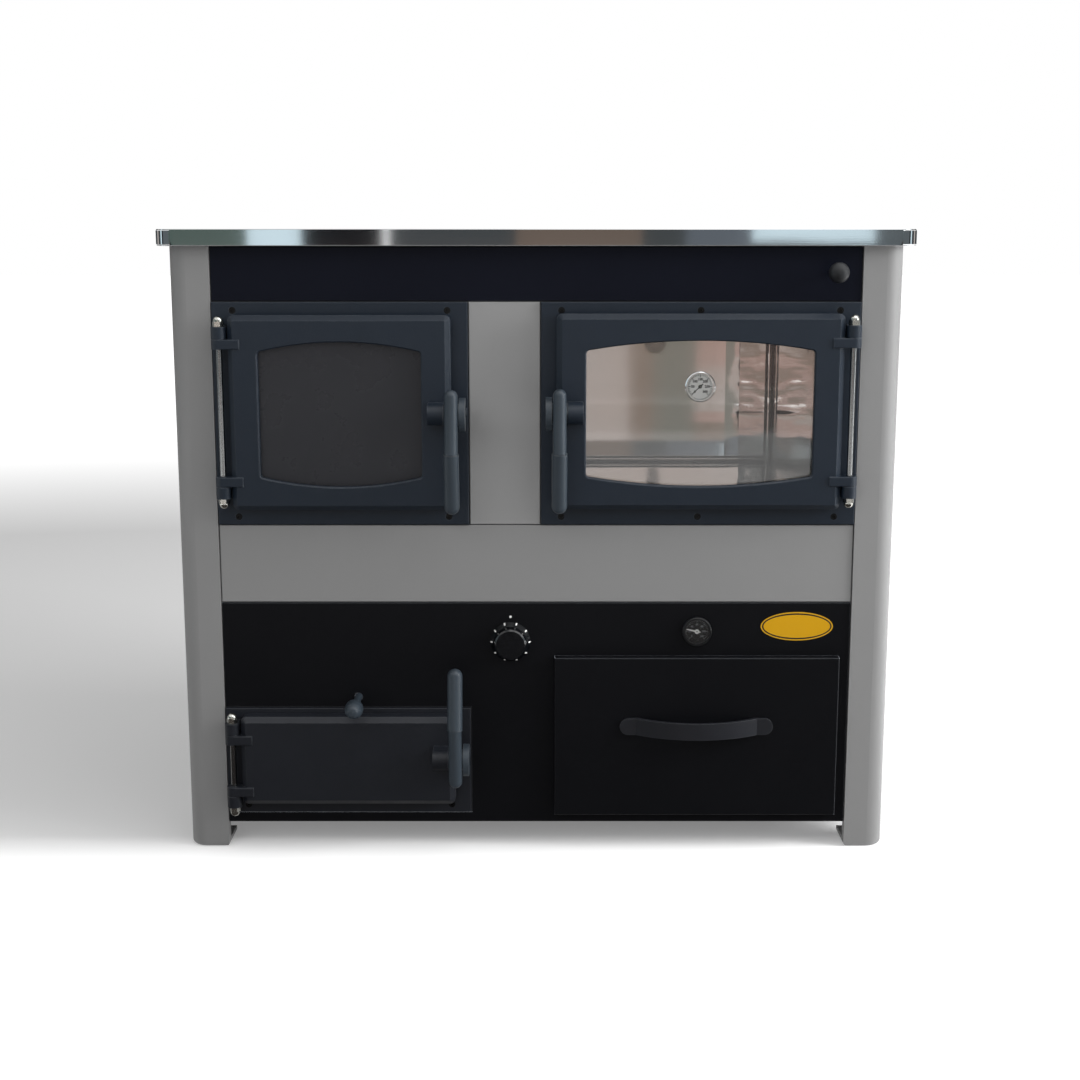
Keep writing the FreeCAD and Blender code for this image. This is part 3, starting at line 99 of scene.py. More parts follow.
# Strips of a wall of cards behind the camera, by x span, height span and colour
CARD_WALL = -5.2
CARD_END = 5.0
LINER_TOP = 0.74
RIM_SILL = 0.80
RIM_TOP = 1.1
HEAD_TOP = 1.8
CARD_TOP = 3.4
CARDS = (
    # High strips, seen in the polished rim
    (-CARD_END, -1.23, LINER_TOP, CARD_TOP, MOSS),
    (-1.23, -1.0, LINER_TOP, RIM_TOP, ICE),
    (-1.0, -0.66, LINER_TOP, CARD_TOP, DARK),
    (-0.625, -0.10, LINER_TOP, CARD_TOP, DUSK),
    (-0.10, 0.44, LINER_TOP, RIM_TOP, WARM),
    (0.44, 0.62, LINER_TOP, RIM_TOP, DUSK),
    (0.62, 0.90, LINER_TOP, RIM_TOP, PALE),
    (0.90, 1.42, LINER_TOP, RIM_SILL, SLATE),
    (0.90, 1.42, RIM_SILL, RIM_TOP, ICE),
    (1.42, CARD_END, LINER_TOP, CARD_TOP, SLATE),
    (-1.23, -1.0, RIM_TOP, CARD_TOP, SLATE),
    (-0.10, 1.42, RIM_TOP, HEAD_TOP, SLATE),
    # Low strips, seen in the oven liner
    (-CARD_END, -2.0, 0.0, LINER_TOP, DARK),
    (-2.0, 0.14, 0.0, 0.16, ROSE),
    (-2.0, 0.14, 0.16, 0.30, TAN),
    (-2.0, 0.14, 0.30, 0.46, CREAM),
    (-2.0, 0.14, 0.46, LINER_TOP, ROSE),
    (0.14, 0.42, 0.0, LINER_TOP, CREAM),
    (0.42, 0.54, 0.0, LINER_TOP, TAN),
    (0.54, 0.76, 0.0, LINER_TOP, SAGE),
    (0.76, 1.3, 0.0, 0.2, CREAM),
    (0.76, 1.3, 0.2, 0.4, ROSE),
    (0.76, 1.3, 0.4, LINER_TOP, TAN),
    (1.3, CARD_END, 0.0, LINER_TOP, DARK),
    # A higher strip, seen in the oven liner too
    (-0.10, 1.42, HEAD_TOP, CARD_TOP, CREAM),
)

# Strips of a card on each side, by y span and colour, seen in the rim's round corners
SIDE_CARD_X = 4.6
SIDE_CARDS = (
    (CARD_WALL, -1.9, SLATE),
    (-1.9, -1.2, DARK),
    (-1.2, -0.5, ICE),
    (-0.5, 1.0, DUSK),
    (1.0, 2.0, CREAM),
    (2.0, 12.0, DUSK),
)

# A bright pane low on the right, just inside the side card, seen in the hinge pins
PANE_GAP = 0.02
PANE_Y = (-1.2, -0.6)
PANE_Z = (0.0, 0.62)

# A dark card just over the floor in front of the stove
LOW_CARD_X = (-1.7, 1.7)
LOW_CARD_Y = (-3.3, -0.30)
LOW_CARD_Z = 0.004


# Surfaces: noise scales are per metre, bump depths in metres and the rope's slant in radians

PAINT_EDGE_R = 1.5 * MM
PAINT_WAVE = 0.5 * MM
CAST_EDGE_R = 2.2 * MM
CAST_SWELL = 0.4 * MM
ZINC_GRAIN = 0.03 * MM
ROPE_SLANT = 0.8
ROPE_DEPTH = 0.8 * MM
ROPE_FUZZ = 0.2 * MM

# Edges: cosines between the true and the rounded normal on a flat and at an edge; for the painted highlight
# on upper edges, how far up or right an edge faces between the least and the full share, and that least
# share
EDGE_SAMPLES = 4
EDGE_FLAT = 0.99
EDGE_SHARP = 0.80
HIGHLIGHT_FACING = (0.1, 0.5)
HIGHLIGHT_LEAST = 0.1


class Graph:
    """A material's node tree with short calls for the nodes used here."""

    def __init__(self, name):
        self.mat = bpy.data.materials.new(name)
        self.mat.use_nodes = True
        self.tree = self.mat.node_tree
        self.tree.nodes.clear()
        self.out = self.tree.nodes.new("ShaderNodeOutputMaterial")
        self.place = self.tree.nodes.new("ShaderNodeTexCoord").outputs["Object"]

    def link(self, source, socket):
        self.tree.links.new(source, socket)

    def put(self, socket, value):
        """Links a socket to a socket, or sets its constant."""
        if isinstance(value, bpy.types.NodeSocket):
            self.link(value, socket)
        elif hasattr(socket.default_value, "__len__") and len(socket.default_value) == 4:
            socket.default_value = (*value[:3], 1.0)
        else:
            socket.default_value = value

    def node(self, kind, settings=None, **inputs):
        made = self.tree.nodes.new(kind)
        for key, value in (settings or {}).items():
            setattr(made, key, value)
        for key, value in inputs.items():
            self.put(made.inputs[key.replace("_", " ")], value)
        return made

    def stretched(self, scale):
        """Object coordinates scaled along each axis, for brushed and rolled surfaces."""
        return self.node("ShaderNodeMapping", Vector=self.place, Scale=scale).outputs["Vector"]

    def split(self, vector):
        return self.node("ShaderNodeSeparateXYZ", Vector=vector).outputs

    def noise(self, scale, detail=3.0, rough=0.55, at=None):
        made = self.node("ShaderNodeTexNoise", Vector=at or self.place, Scale=scale, Detail=detail,
                         Roughness=rough)
        return made.outputs["Fac"]

    def span(self, fac, low, high, start=0.0, end=1.0):
        """Maps start..end of a value to low..high, and holds it there beyond them."""
        made = self.node("ShaderNodeMapRange", Value=fac)
        for key, value in (("From Min", start), ("From Max", end), ("To Min", low), ("To Max", high)):
            made.inputs[key].default_value = value
        return made.outputs["Result"]

    def mix(self, fac, first, second):
        """A mix of two colours, which the node takes at inputs 6 and 7 and gives at output 2."""
        made = self.tree.nodes.new("ShaderNodeMix")
        made.data_type = "RGBA"
        for index, value in ((0, fac), (6, first), (7, second)):
            self.put(made.inputs[index], value)
        return made.outputs[2]

    def join(self, made, first, second):
        """Links two shaders into a mix or a sum, whose two shader inputs come last."""
        self.link(first.outputs[0], made.inputs[-2])
        self.link(second.outputs[0], made.inputs[-1])
        return made

    def math(self, operation, first, second):
        made = self.node("ShaderNodeMath", {"operation": operation})
        self.put(made.inputs[0], first)
        self.put(made.inputs[1], second)
        return made.outputs[0]

    def vector(self, operation, first, second=(0.0, 0.0, 0.0)):
        made = self.node("ShaderNodeVectorMath", {"operation": operation})
        self.put(made.inputs[0], first)
        self.put(made.inputs[1], second)
        return made.outputs

    def bump(self, height, depth, under=None):
        made = self.node("ShaderNodeBump", Height=height, Strength=1.0, Distance=depth)
        if under:
            self.link(under, made.inputs["Normal"])
        return made.outputs["Normal"]

    def edges(self, radius, upper=False):
        """About 1 along edges and 0 on flats, or a painted highlight on just the edges facing up or right.
        """
        soft = self.node("ShaderNodeBevel", {"samples": EDGE_SAMPLES}, Radius=radius).outputs["Normal"]
        flat = self.tree.nodes.new("ShaderNodeNewGeometry").outputs["Normal"]
        likeness = self.vector("DOT_PRODUCT", soft, flat)["Value"]
        found = self.span(likeness, 0.0, 1.0, EDGE_FLAT, EDGE_SHARP)
        if not upper:
            return found
        # Painted highlight: the edge share kept only where the edge faces up or right
        axes = self.split(soft)
        lit = self.span(self.math("MAXIMUM", axes["X"], axes["Z"]), HIGHLIGHT_LEAST, 1.0, *HIGHLIGHT_FACING)
        return self.math("MULTIPLY", found, lit)

    def surface(self, **inputs):
        made = self.node("ShaderNodeBsdfPrincipled", **inputs)
        self.link(made.outputs["BSDF"], self.out.inputs["Surface"])
        return self.mat


def shades(color, spread):
    """A darker and a lighter shade of a colour."""
    return tuple(c * (1 - spread) for c in color), tuple(c * (1 + spread) for c in color)


def painted(name, color, spread, rough, peel, edge, least_edge_share=0.0, level=0.5, upper=False):
    """Sprayed paint on sheet: faint clouding, orange peel and edges lighter from wear, with upper a painted
    highlight.
    """
    g = Graph(name)
    clouds = g.noise(5.0, detail=4.0)
    patch_noise = g.noise(90.0)
    smears = g.noise(14.0, detail=4.0)
    orange_peel = g.noise(700.0, detail=2.0)
    waves = g.noise(2.2, detail=1.0)
    edge_patches = g.span(patch_noise, least_edge_share, 1.0, start=0.35, end=0.75)
    coat = g.mix(clouds, *shades(color, spread))
    # Lighter edges: wear, and with upper a painted highlight on the edges facing up or right
    coat = g.mix(g.math("MULTIPLY", g.edges(PAINT_EDGE_R, upper), edge_patches), coat, edge)
    sheen = g.span(smears, rough - 0.06, rough + 0.08)
    normal = g.bump(waves, PAINT_WAVE, g.bump(orange_peel, peel))
    return g.surface(Base_Color=coat, Roughness=sheen, Normal=normal, Specular_IOR_Level=level)


def cast(name, color, spread, rough, grain, edge):
    """Sand-cast iron under stove paint: pitted grain, soft swells and a patchy painted highlight on upper
    right edges.
    """
    g = Graph(name)
    blotches = g.noise(22.0, detail=6.0, rough=0.65)
    patch_noise = g.noise(140.0, detail=4.0)
    smears = g.noise(45.0, detail=5.0)
    pits = g.noise(420.0, detail=5.0, rough=0.7)
    swells = g.noise(28.0, detail=2.0)
    edge_patches = g.span(patch_noise, 0.15, 1.0, start=0.3, end=0.7)
    coat = g.mix(blotches, *shades(color, spread))
    # Lighter edges: a painted highlight on the edges facing up or right, patchy by noise
    coat = g.mix(g.math("MULTIPLY", g.edges(CAST_EDGE_R, upper=True), edge_patches), coat, edge)
    sheen = g.span(smears, rough - 0.09, rough + 0.09)
    normal = g.bump(swells, CAST_SWELL, g.bump(pits, grain))
    return g.surface(Base_Color=coat, Roughness=sheen, Normal=normal)


def metal(name, color, rough, brush=(1.0, 1.0, 1.0), lines=0.0, wave=0.0, wave_scale=6.0):
    """Bare metal: drawn lines along one axis, slow waves of the sheet and a little staining."""
    g = Graph(name)
    stains = g.noise(9.0, detail=5.0, rough=0.6)
    streak = g.noise(900.0, detail=2.0, rough=0.5, at=g.stretched(brush))
    base = g.mix(stains, *shades(color, 0.06))
    sheen = g.span(streak, rough * 0.8, rough * 1.25)
    normal = g.bump(streak, lines)
    if wave:
        normal = g.bump(g.noise(wave_scale, detail=1.5), wave, normal)
    return g.surface(Base_Color=base, Metallic=1.0, Roughness=sheen, Normal=normal)


# Oven liner: the widths of its dished right end and foot, the shares of that end where ripples set in and
# where the upright wall begins, and the depths of its forms
LINER_RIGHT = 75.0 * MM
LINER_FOOT = 95.0 * MM
RIPPLE_SHARE = (0.0, 0.3)
WALL_SHARE = (0.93, 0.97)
LINER_LINES = 0.002 * MM
LINER_SWELL = 1.0 * MM
FOOT_RISE = 6.2 * MM
RIGHT_DIP = -2.0 * MM
RIPPLE_DEPTH = 1.2 * MM
# Roughness of the bright sheet, of the right wall's foot and of the soot, and where soot begins and is full,
# as heights over the box's outer faces
LINER_ROUGH = (0.03, 0.07)
FOOT_ROUGH = 0.18
SOOT_ROUGH = 0.8
SOOT_SKIN = (-1.0 * MM, -0.5 * MM)


def liner(name, color, warm, soot):
    """Stainless oven sheet: nearly a mirror inside, dished and rippled toward its joints, sooted outside."""
    g = Graph(name)
    low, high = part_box("oven_box")
    from_middle = g.vector("ABSOLUTE", g.vector("SUBTRACT", g.place, (low + high) / 2)["Vector"])["Vector"]
    over = g.split(g.vector("SUBTRACT", from_middle, (high - low) / 2)["Vector"])
    outermost = g.math("MAXIMUM", g.math("MAXIMUM", over["X"], over["Y"]), over["Z"])
    smoked = g.span(outermost, 0.0, 1.0, *SOOT_SKIN)
    axes = g.split(g.place)
    right = g.span(axes["X"], 0.0, 1.0, high.x - LINER_RIGHT, high.x)
    foot = g.span(axes["Z"], 1.0, 0.0, low.z, low.z + LINER_FOOT)

    tints = g.noise(4.0, detail=2.0)
    flakes = g.noise(35.0, detail=4.0)
    bright = g.mix(g.span(tints, 0.0, 0.8, start=0.4, end=0.7), color, warm)
    base = g.mix(smoked, bright, g.mix(flakes, *shades(soot, 0.4)))

    streak = g.noise(900.0, detail=2.0, rough=0.5, at=g.stretched((0.04, 0.04, 1.0)))
    swells = g.noise(2.6, detail=1.0)
    folds = g.noise(9.0, detail=2.0, rough=0.5, at=g.stretched((1.0, 0.6, 2.6)))
    ripple = g.math("MULTIPLY", g.span(right, 0.0, 1.0, *RIPPLE_SHARE), folds)
    normal = g.bump(streak, LINER_LINES)
    normal = g.bump(swells, LINER_SWELL, normal)
    normal = g.bump(g.math("POWER", foot, 2.0), FOOT_RISE, normal)
    normal = g.bump(g.math("POWER", right, 2.0), RIGHT_DIP, normal)
    normal = g.bump(ripple, RIPPLE_DEPTH, normal)

    wall_foot = g.math("MULTIPLY", foot, g.span(right, 0.0, 1.0, *WALL_SHARE))
    dulled = g.span(wall_foot, 0.0, FOOT_ROUGH, start=0.0, end=0.5)
    sheen = g.math("MAXIMUM", g.span(streak, *LINER_ROUGH), dulled)
    sheen = g.math("MAXIMUM", sheen, g.span(smoked, 0.0, SOOT_ROUGH))
    return g.surface(Base_Color=base, Metallic=g.span(smoked, 1.0, 0.0), Roughness=sheen, Normal=normal)


def galvanised(name, color):
    """Zinc-coated sheet with its crystal spangle."""
    g = Graph(name)
    spangle = g.node("ShaderNodeTexVoronoi", Vector=g.place, Scale=110.0).outputs["Color"]
    grey = g.node("ShaderNodeRGBToBW", Color=spangle).outputs["Val"]
    base = g.mix(grey, *shades(color, 0.22))
    grain = g.bump(g.noise(300.0), ZINC_GRAIN)
    return g.surface(Base_Color=base, Metallic=1.0, Roughness=g.span(grey, 0.28, 0.5), Normal=grain)


def rope(name, color):
    """Woven glass-fibre rope: crossed diagonal strands with loose fibres."""
    g = Graph(name)
    strands = []
    for slant in (ROPE_SLANT, -ROPE_SLANT):
        at = g.node("ShaderNodeMapping", Vector=g.place, Rotation=(0.0, slant, 0.0)).outputs["Vector"]
        wave = g.node("ShaderNodeTexWave", Vector=at, Scale=170.0, Distortion=1.2, Detail=2.0)
        strands.append(wave.outputs["Fac"])
    weave = g.math("MULTIPLY", *strands)
    base = g.mix(weave, *shades(color, 0.4))
    fuzz = g.bump(g.noise(1500.0), ROPE_FUZZ)
    return g.surface(Base_Color=base, Roughness=0.95, Normal=g.bump(weave, ROPE_DEPTH, fuzz))


def moulded(name, color, spread, rough, grain, level=0.5):
    """Moulded plastic with a fine eroded texture and faint flow clouds."""
    g = Graph(name)
    clouds = g.noise(30.0, detail=4.0)
    smears = g.noise(120.0, detail=4.0)
    base = g.mix(clouds, *shades(color, spread))
    sheen = g.span(smears, rough - 0.06, rough + 0.08)
    normal = g.bump(g.noise(1100.0), grain)
    return g.surface(Base_Color=base, Roughness=sheen, Normal=normal, Specular_IOR_Level=level)


def pane(name, tint, haze, share, ior, rough):
    """Thin glass: light passes straight through the tint, dulled by a hazy share, under a reflection."""
    g = Graph(name)
    smear = g.noise(12.0, detail=5.0, rough=0.6)
    through = g.node("ShaderNodeBsdfTransparent", Color=g.mix(smear, *shades(tint, 0.02)))
    gloss = g.node("ShaderNodeBsdfGlossy", Color=WHITE, Roughness=g.span(smear, rough * 0.6, rough * 1.4))
    dull = g.node("ShaderNodeBsdfDiffuse", Color=g.mix(smear, *shades(haze, 0.02)))
    film = g.node("ShaderNodeMixShader", Fac=g.span(smear, share * 0.97, share * 1.03))
    skin = g.node("ShaderNodeMixShader", Fac=g.node("ShaderNodeFresnel", IOR=ior).outputs["Fac"])
    g.join(skin, g.join(film, through, dull), gloss)
    g.link(skin.outputs[0], g.out.inputs["Surface"])
    return g.mat


LOOKS = {
    "grey_paint": painted("GreyPaint", (0.222, 0.222, 0.222), spread=0.03, rough=0.42, peel=0.035 * MM,
                          edge=(0.30, 0.30, 0.30)),
    # Its lighter edge colour is a painted highlight, only on the edges facing up or right
    "black_paint": painted("BlackPaint", (0.0044, 0.0047, 0.0060), spread=0.12, rough=0.36, peel=0.03 * MM,
                           edge=(0.45, 0.48, 0.53), least_edge_share=0.9, level=0.15, upper=True),
    "cabinet_steel": painted("CabinetSheet", (0.11, 0.11, 0.115), spread=0.06, rough=0.5, peel=0.05 * MM,
                             edge=(0.2, 0.2, 0.21)),
    "boiler_steel": painted("BoilerPlate", (0.03, 0.03, 0.032), spread=0.25, rough=0.6, peel=0.08 * MM,
                            edge=(0.07, 0.068, 0.066)),
    # Cast looks: the lighter edge colour is a painted highlight on the edges facing up or right
    "cast_charcoal": cast("CastCharcoal", (0.0062, 0.0124, 0.0225), spread=0.10, rough=0.50,
                          grain=0.16 * MM, edge=(0.115, 0.130, 0.150)),
    "lever_black": cast("LeverBlack", (0.031, 0.042, 0.054), spread=0.12, rough=0.40,
                        grain=0.06 * MM, edge=(0.09, 0.095, 0.10)),
    "hob_iron": cast("HobIron", (0.035, 0.035, 0.037), spread=0.16, rough=0.42,
                     grain=0.12 * MM, edge=(0.11, 0.11, 0.11)),
    "polished_rim": metal("PolishedRim", (0.70, 0.71, 0.72), rough=0.045, brush=(0.02, 1.0, 1.0),
                          lines=0.002 * MM, wave=0.25 * MM, wave_scale=5.0),
    "oven_stainless": liner("OvenStainless", (0.73, 0.71, 0.69), warm=(0.78, 0.70, 0.65),
                            soot=(0.018, 0.017, 0.016)),
    "bright_steel": metal("BrightSteel", (0.27, 0.275, 0.275), rough=0.20, brush=(1.0, 1.0, 0.08),
                          lines=0.002 * MM),
    "dial_chrome": metal("DialChrome", (0.72, 0.73, 0.74), rough=0.10, lines=0.003 * MM),
    "galvanised": galvanised("Galvanised", (0.46, 0.47, 0.48)),
    "fire_glass": pane("FireGlass", (0.10, 0.10, 0.105), haze=(0.050, 0.052, 0.060), share=0.5, ior=1.30,
                       rough=0.28),
    "oven_glass": pane("OvenGlass", (0.95, 0.95, 0.95), haze=(0.35, 0.34, 0.33), share=0.03, ior=1.45,
                       rough=0.04),
    "lens": pane("DialLens", (0.97, 0.97, 0.97), haze=(0.4, 0.4, 0.4), share=0.02, ior=1.40, rough=0.04),
    "rope_seal": rope("RopeSeal", (0.10, 0.10, 0.095)),
    "black_plastic": moulded("BlackPlastic", (0.0030, 0.0036, 0.0048), spread=0.15, rough=0.18,
                             grain=0.01 * MM, level=0.6),
    "dial_black": moulded("DialBlack", (0.0060, 0.0066, 0.0075), spread=0.15, rough=0.34, grain=0.02 * MM),
    "pointer_white": moulded("PointerWhite", (0.86, 0.86, 0.84), spread=0.04, rough=0.5, grain=0.01 * MM),
    "pointer_black": moulded("PointerBlack", (0.010, 0.010, 0.010), spread=0.1, rough=0.5, grain=0.01 * MM),
}
SCALE_INK = moulded("ScaleInk", (0.16, 0.17, 0.18), spread=0.06, rough=0.5, grain=0.01 * MM)
AMBER = painted("AmberEnamel", (0.54, 0.285, 0.004), spread=0.08, rough=0.30, peel=0.02 * MM,
                edge=(0.60, 0.36, 0.05), least_edge_share=0.2, level=0.2)
# Cast too: its lighter edge colour is a painted highlight on the edges facing up or right
ASH_CHARCOAL = cast("AshCharcoal", (0.0082, 0.0100, 0.0150), spread=0.10, rough=0.50, grain=0.16 * MM,
                    edge=(0.075, 0.080, 0.090))
# Parts whose finish differs a little from their slot's, and two paints tinted as painted light
OWN_LOOKS = {
    "ash_door": ASH_CHARCOAL,
    "ash_door_frame": ASH_CHARCOAL,
    "damper_knob": moulded("MattBlack", (0.010, 0.011, 0.013), spread=0.15, rough=0.52, grain=0.03 * MM),
    "frame_screws": moulded("ScrewBlack", (0.0020, 0.0021, 0.0024), spread=0.15, rough=0.38,
                            grain=0.02 * MM, level=0.3),
    # The fascia's black paint, bluer and lighter than its slot's: painted light from above
    "top_fascia": painted("FasciaPaintedSkyLight", (0.0053, 0.0064, 0.0120), spread=0.12, rough=0.36, peel=0.03 * MM,
                          edge=(0.10, 0.105, 0.12), least_edge_share=0.5, level=0.09),
    # The centre strip's grey paint, lighter than its slot's: painted light
    "center_strip": painted("StripPaintedLight", (0.255, 0.255, 0.255), spread=0.03, rough=0.42, peel=0.035 * MM,
                            edge=(0.32, 0.32, 0.32)),
    "hinge_nuts": metal("ZincNuts", (0.66, 0.66, 0.61), rough=0.22, brush=(1.0, 1.0, 0.3), lines=0.003 * MM),
    # Cast too: its lighter edge colour is a painted highlight on the edges facing up or right
    "drawer_handle": cast("BowBlack", (0.0115, 0.0125, 0.0165), spread=0.12, rough=0.42, grain=0.06 * MM,
                          edge=(0.07, 0.074, 0.08)),
}


def dress_nodes():
    """Gives each part its own look, or else its slot's."""
    for row in frame["record"]["subparts"]:
        look = OWN_LOOKS.get(row["node"], LOOKS[row["material_slot"]])
        for held in NODES[row["node"]].material_slots:
            held.material = look


# Helpers for the small pieces

def new_piece(name, mesh_builder, look, body):
    """Runs a builder on an empty bmesh and makes the result a piece that rides on a body."""
    bm = bmesh.new()
    mesh_builder(bm)
    bmesh.ops.recalc_face_normals(bm, faces=bm.faces)
    mesh = bpy.data.meshes.new(name)
    bm.to_mesh(mesh)
    bm.free()
    mesh.materials.append(look)
    piece = bpy.data.objects.new(name, mesh)
    bpy.context.scene.collection.objects.link(piece)
    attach(piece, body)


def centre(node):
    low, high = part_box(node)
    return (low + high) / 2


def facing(x, y, z):
    """Local x right, local y up, local z toward the viewer, at a place on the front."""
    return Matrix.Translation((x, y, z)) @ Matrix.Rotation(math.radians(90), 4, "X")


def round_turns(steps):
    """Angles of a full turn, in equal steps."""
    return [2 * math.pi * k / steps for k in range(steps)]


def add_prism(bm, low_points, high_points):
    """A closed solid between two outlines with the same number of points."""
    low = [bm.verts.new(point) for point in low_points]
    high = [bm.verts.new(point) for point in high_points]
    bm.faces.new(low)
    bm.faces.new(high)
    for i in range(len(low)):
        j = (i + 1) % len(low)
        bm.faces.new((low[i], low[j], high[j], high[i]))


def add_slab(bm, outline, thick, place):
    """A flat slab of an outline, standing on local z = 0."""
    low, high = ([place @ Vector((x, y, z)) for x, y in outline] for z in (0.0, thick))
    add_prism(bm, low, high)


def add_ring(bm, inner, outer, thick, place, steps=64):
    """A flat square-edged washer, standing on local z = 0."""
    loops = []
    for radius, z in ((inner, 0.0), (outer, 0.0), (outer, thick), (inner, thick)):
        loops.append([bm.verts.new(place @ Vector((radius * math.sin(t), radius * math.cos(t), z)))
                      for t in round_turns(steps)])
    for a in range(4):
        b = (a + 1) % 4
        for k in range(steps):
            m = (k + 1) % steps
            bm.faces.new((loops[a][k], loops[a][m], loops[b][m], loops[b][k]))


# Gauges: the plate behind each needle, with ticks and figures at shares of the dial's radius

PRINT_T = 0.12 * MM
PRINT_HOLE_R = 0.3 * MM
DIAL_FACE_T = 0.25 * MM
DIAL_R = 16.6 * MM
STAFF_HOLE = 1.1 * MM
NEEDLE_LIFT = 0.8 * MM
SWEEP = 270.0
TICKS_PER_FIGURE = 5
TICK_W = 0.9 * MM
TICK_OUTER = 0.96
TICK_INNER = 0.85
LONG_TICK_INNER = 0.76
FIGURES_AT = 0.58
FIGURE_WEIGHT = 0.05
FIGURE_CURVE_STEPS = 2


def dial_angle(share):
    """Clockwise from the top, in radians, for a share of the dial's sweep."""
    return math.radians(-SWEEP / 2 + SWEEP * share)


def add_ticks(bm, count, place):
    """Radial marks over the dial's sweep, longer and wider at each figure."""
    outer = TICK_OUTER * DIAL_R
    for k in range(count + 1):
        at_figure = k % TICKS_PER_FIGURE == 0
        inner = (LONG_TICK_INNER if at_figure else TICK_INNER) * DIAL_R
        half = TICK_W / 2 if at_figure else TICK_W / 3
        spin = place @ Matrix.Rotation(-dial_angle(k / count), 4, "Z")
        add_slab(bm, [(-half, inner), (half, inner), (half, outer), (-half, outer)], PRINT_T, spin)


def add_figure(bm, value, size, spot, place):
    """An upright number centred on a spot of the dial."""
    curve = bpy.data.curves.new("figures", "FONT")
    curve.body = str(value)
    curve.size = size
    curve.align_x = "CENTER"
    curve.align_y = "CENTER"
    curve.extrude = PRINT_T / 2
    curve.offset = FIGURE_WEIGHT * size
    curve.resolution_u = FIGURE_CURVE_STEPS
    holder = bpy.data.objects.new("figures", curve)
    bpy.context.scene.collection.objects.link(holder)
    bpy.context.view_layer.update()
    mesh = bpy.data.meshes.new_from_object(holder.evaluated_get(bpy.context.evaluated_depsgraph_get()))
    mesh.transform(place @ Matrix.Translation((*spot, PRINT_T / 2)))
    bm.from_mesh(mesh)
    bpy.data.objects.remove(holder)
    bpy.data.curves.remove(curve)
    bpy.data.meshes.remove(mesh)


def make_dial(prefix, needle, case, body, face, ink, values, figure):
    """A dial plate behind the pointer with its printed scale, the figures a share of its radius high."""
    middle = centre(case)
    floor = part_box(needle)[1].y + NEEDLE_LIFT
    plate = facing(middle.x, floor, middle.z)
    printed = facing(middle.x, floor - DIAL_FACE_T, middle.z)

    def disc(bm):
        add_ring(bm, STAFF_HOLE, DIAL_R, DIAL_FACE_T, plate)

    def marks(bm):
        steps = len(values) - 1
        add_ticks(bm, steps * TICKS_PER_FIGURE, printed)
        radius = FIGURES_AT * DIAL_R
        for k, value in enumerate(values):
            turn = dial_angle(k / steps)
            spot = (radius * math.sin(turn), radius * math.cos(turn))
            add_figure(bm, value, figure * DIAL_R, spot, printed)

    new_piece(prefix + "_dial_face", disc, LOOKS[face], body)
    new_piece(prefix + "_dial_scale", marks, ink, body)


# White paint on the boiler gauge's needle

HUB_PAINT_R = 3.2 * MM
HUB_STEPS = 32
POINTER_ROOT = 1.2 * MM
POINTER_TIP = 0.75 * MM
PAINT_CLEAR = 0.1 * MM


def make_needle_paint():
    """Thick white paint on the boiler gauge's hub and pointer."""
    node = NODES["boiler_gauge_needle"]
    middle = centre("boiler_gauge_case")
    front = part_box("boiler_gauge_needle")[0].y - PAINT_CLEAR
    spots = [node.matrix_world @ v.co for v in node.data.vertices]
    arms = [(spot.x - middle.x, spot.z - middle.z) for spot in spots]
    across, up = max(arms, key=lambda arm: math.hypot(*arm))
    reach = math.hypot(across, up)
    place = facing(middle.x, front, middle.z) @ Matrix.Rotation(math.atan2(up, across), 4, "Z")
    pointer = [(0.0, -POINTER_ROOT), (reach, -POINTER_TIP), (reach, POINTER_TIP), (0.0, POINTER_ROOT)]

    def paint(bm):
        add_slab(bm, pointer, PRINT_T, place)
        add_ring(bm, PRINT_HOLE_R, HUB_PAINT_R, 2 * PRINT_T, place, HUB_STEPS)

    new_piece("boiler_needle_paint", paint, LOOKS["pointer_white"], "boiler_needle")


# Welded seam round the oven's rear sheet

OVEN_SHEET = 1.5 * MM
OVEN_COVE = 9.0 * MM
SEAM_R = 4.0 * MM
SEAM_SIDES = 16
SEAM_CORNER_STEPS = 8


def make_oven_seam():
    """A round bead lying in the rounded corners between the liner's rear sheet and its other walls."""
    low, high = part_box("oven_box")
    inset = OVEN_SHEET + OVEN_COVE
    seat = (OVEN_COVE - SEAM_R) * math.sqrt(0.5)
    back = high.y - inset + seat
    middle = (low + high) / 2
    half_w = (high.x - low.x) / 2 - inset
    half_h = (high.z - low.z) / 2 - inset
    rearward = Vector((0.0, 1.0, 0.0))

    def bead(bm):
        rings = []
        for quarter, (side, rise) in enumerate(((1, 1), (-1, 1), (-1, -1), (1, -1))):
            corner = Vector((middle.x + side * half_w, back, middle.z + rise * half_h))
            for k in range(SEAM_CORNER_STEPS + 1):
                turn = math.pi / 2 * (quarter + k / SEAM_CORNER_STEPS)
                out = Vector((math.cos(turn), 0.0, math.sin(turn)))
                spine = corner + out * seat
                rings.append([bm.verts.new(spine + SEAM_R * (math.cos(a) * out + math.sin(a) * rearward))
                              for a in round_turns(SEAM_SIDES)])
        for k, ring in enumerate(rings):
            after = rings[(k + 1) % len(rings)]
            for n in range(SEAM_SIDES):
                m = (n + 1) % SEAM_SIDES
                bm.faces.new((ring[n], ring[m], after[m], after[n])).smooth = True

    new_piece("oven_seam", bead, LOOKS["oven_stainless"], "cabinet")


# Marks on the thermostat knob's sloping skirt, and the dot above the knob

SKIRT_FRONT = 15.0 * MM
SKIRT_DEPTH = 7.0 * MM
SKIRT_INNER_R = 22.5 * MM
SKIRT_OUTER_R = 27.5 * MM
SKIRT_MARKS = 10
MARK_W = 2.1 * MM
MARK_SPAN = (0.45, 0.97)
DOT_UP = 34.4 * MM
DOT_R = 1.7 * MM
DOT_STEPS = 24


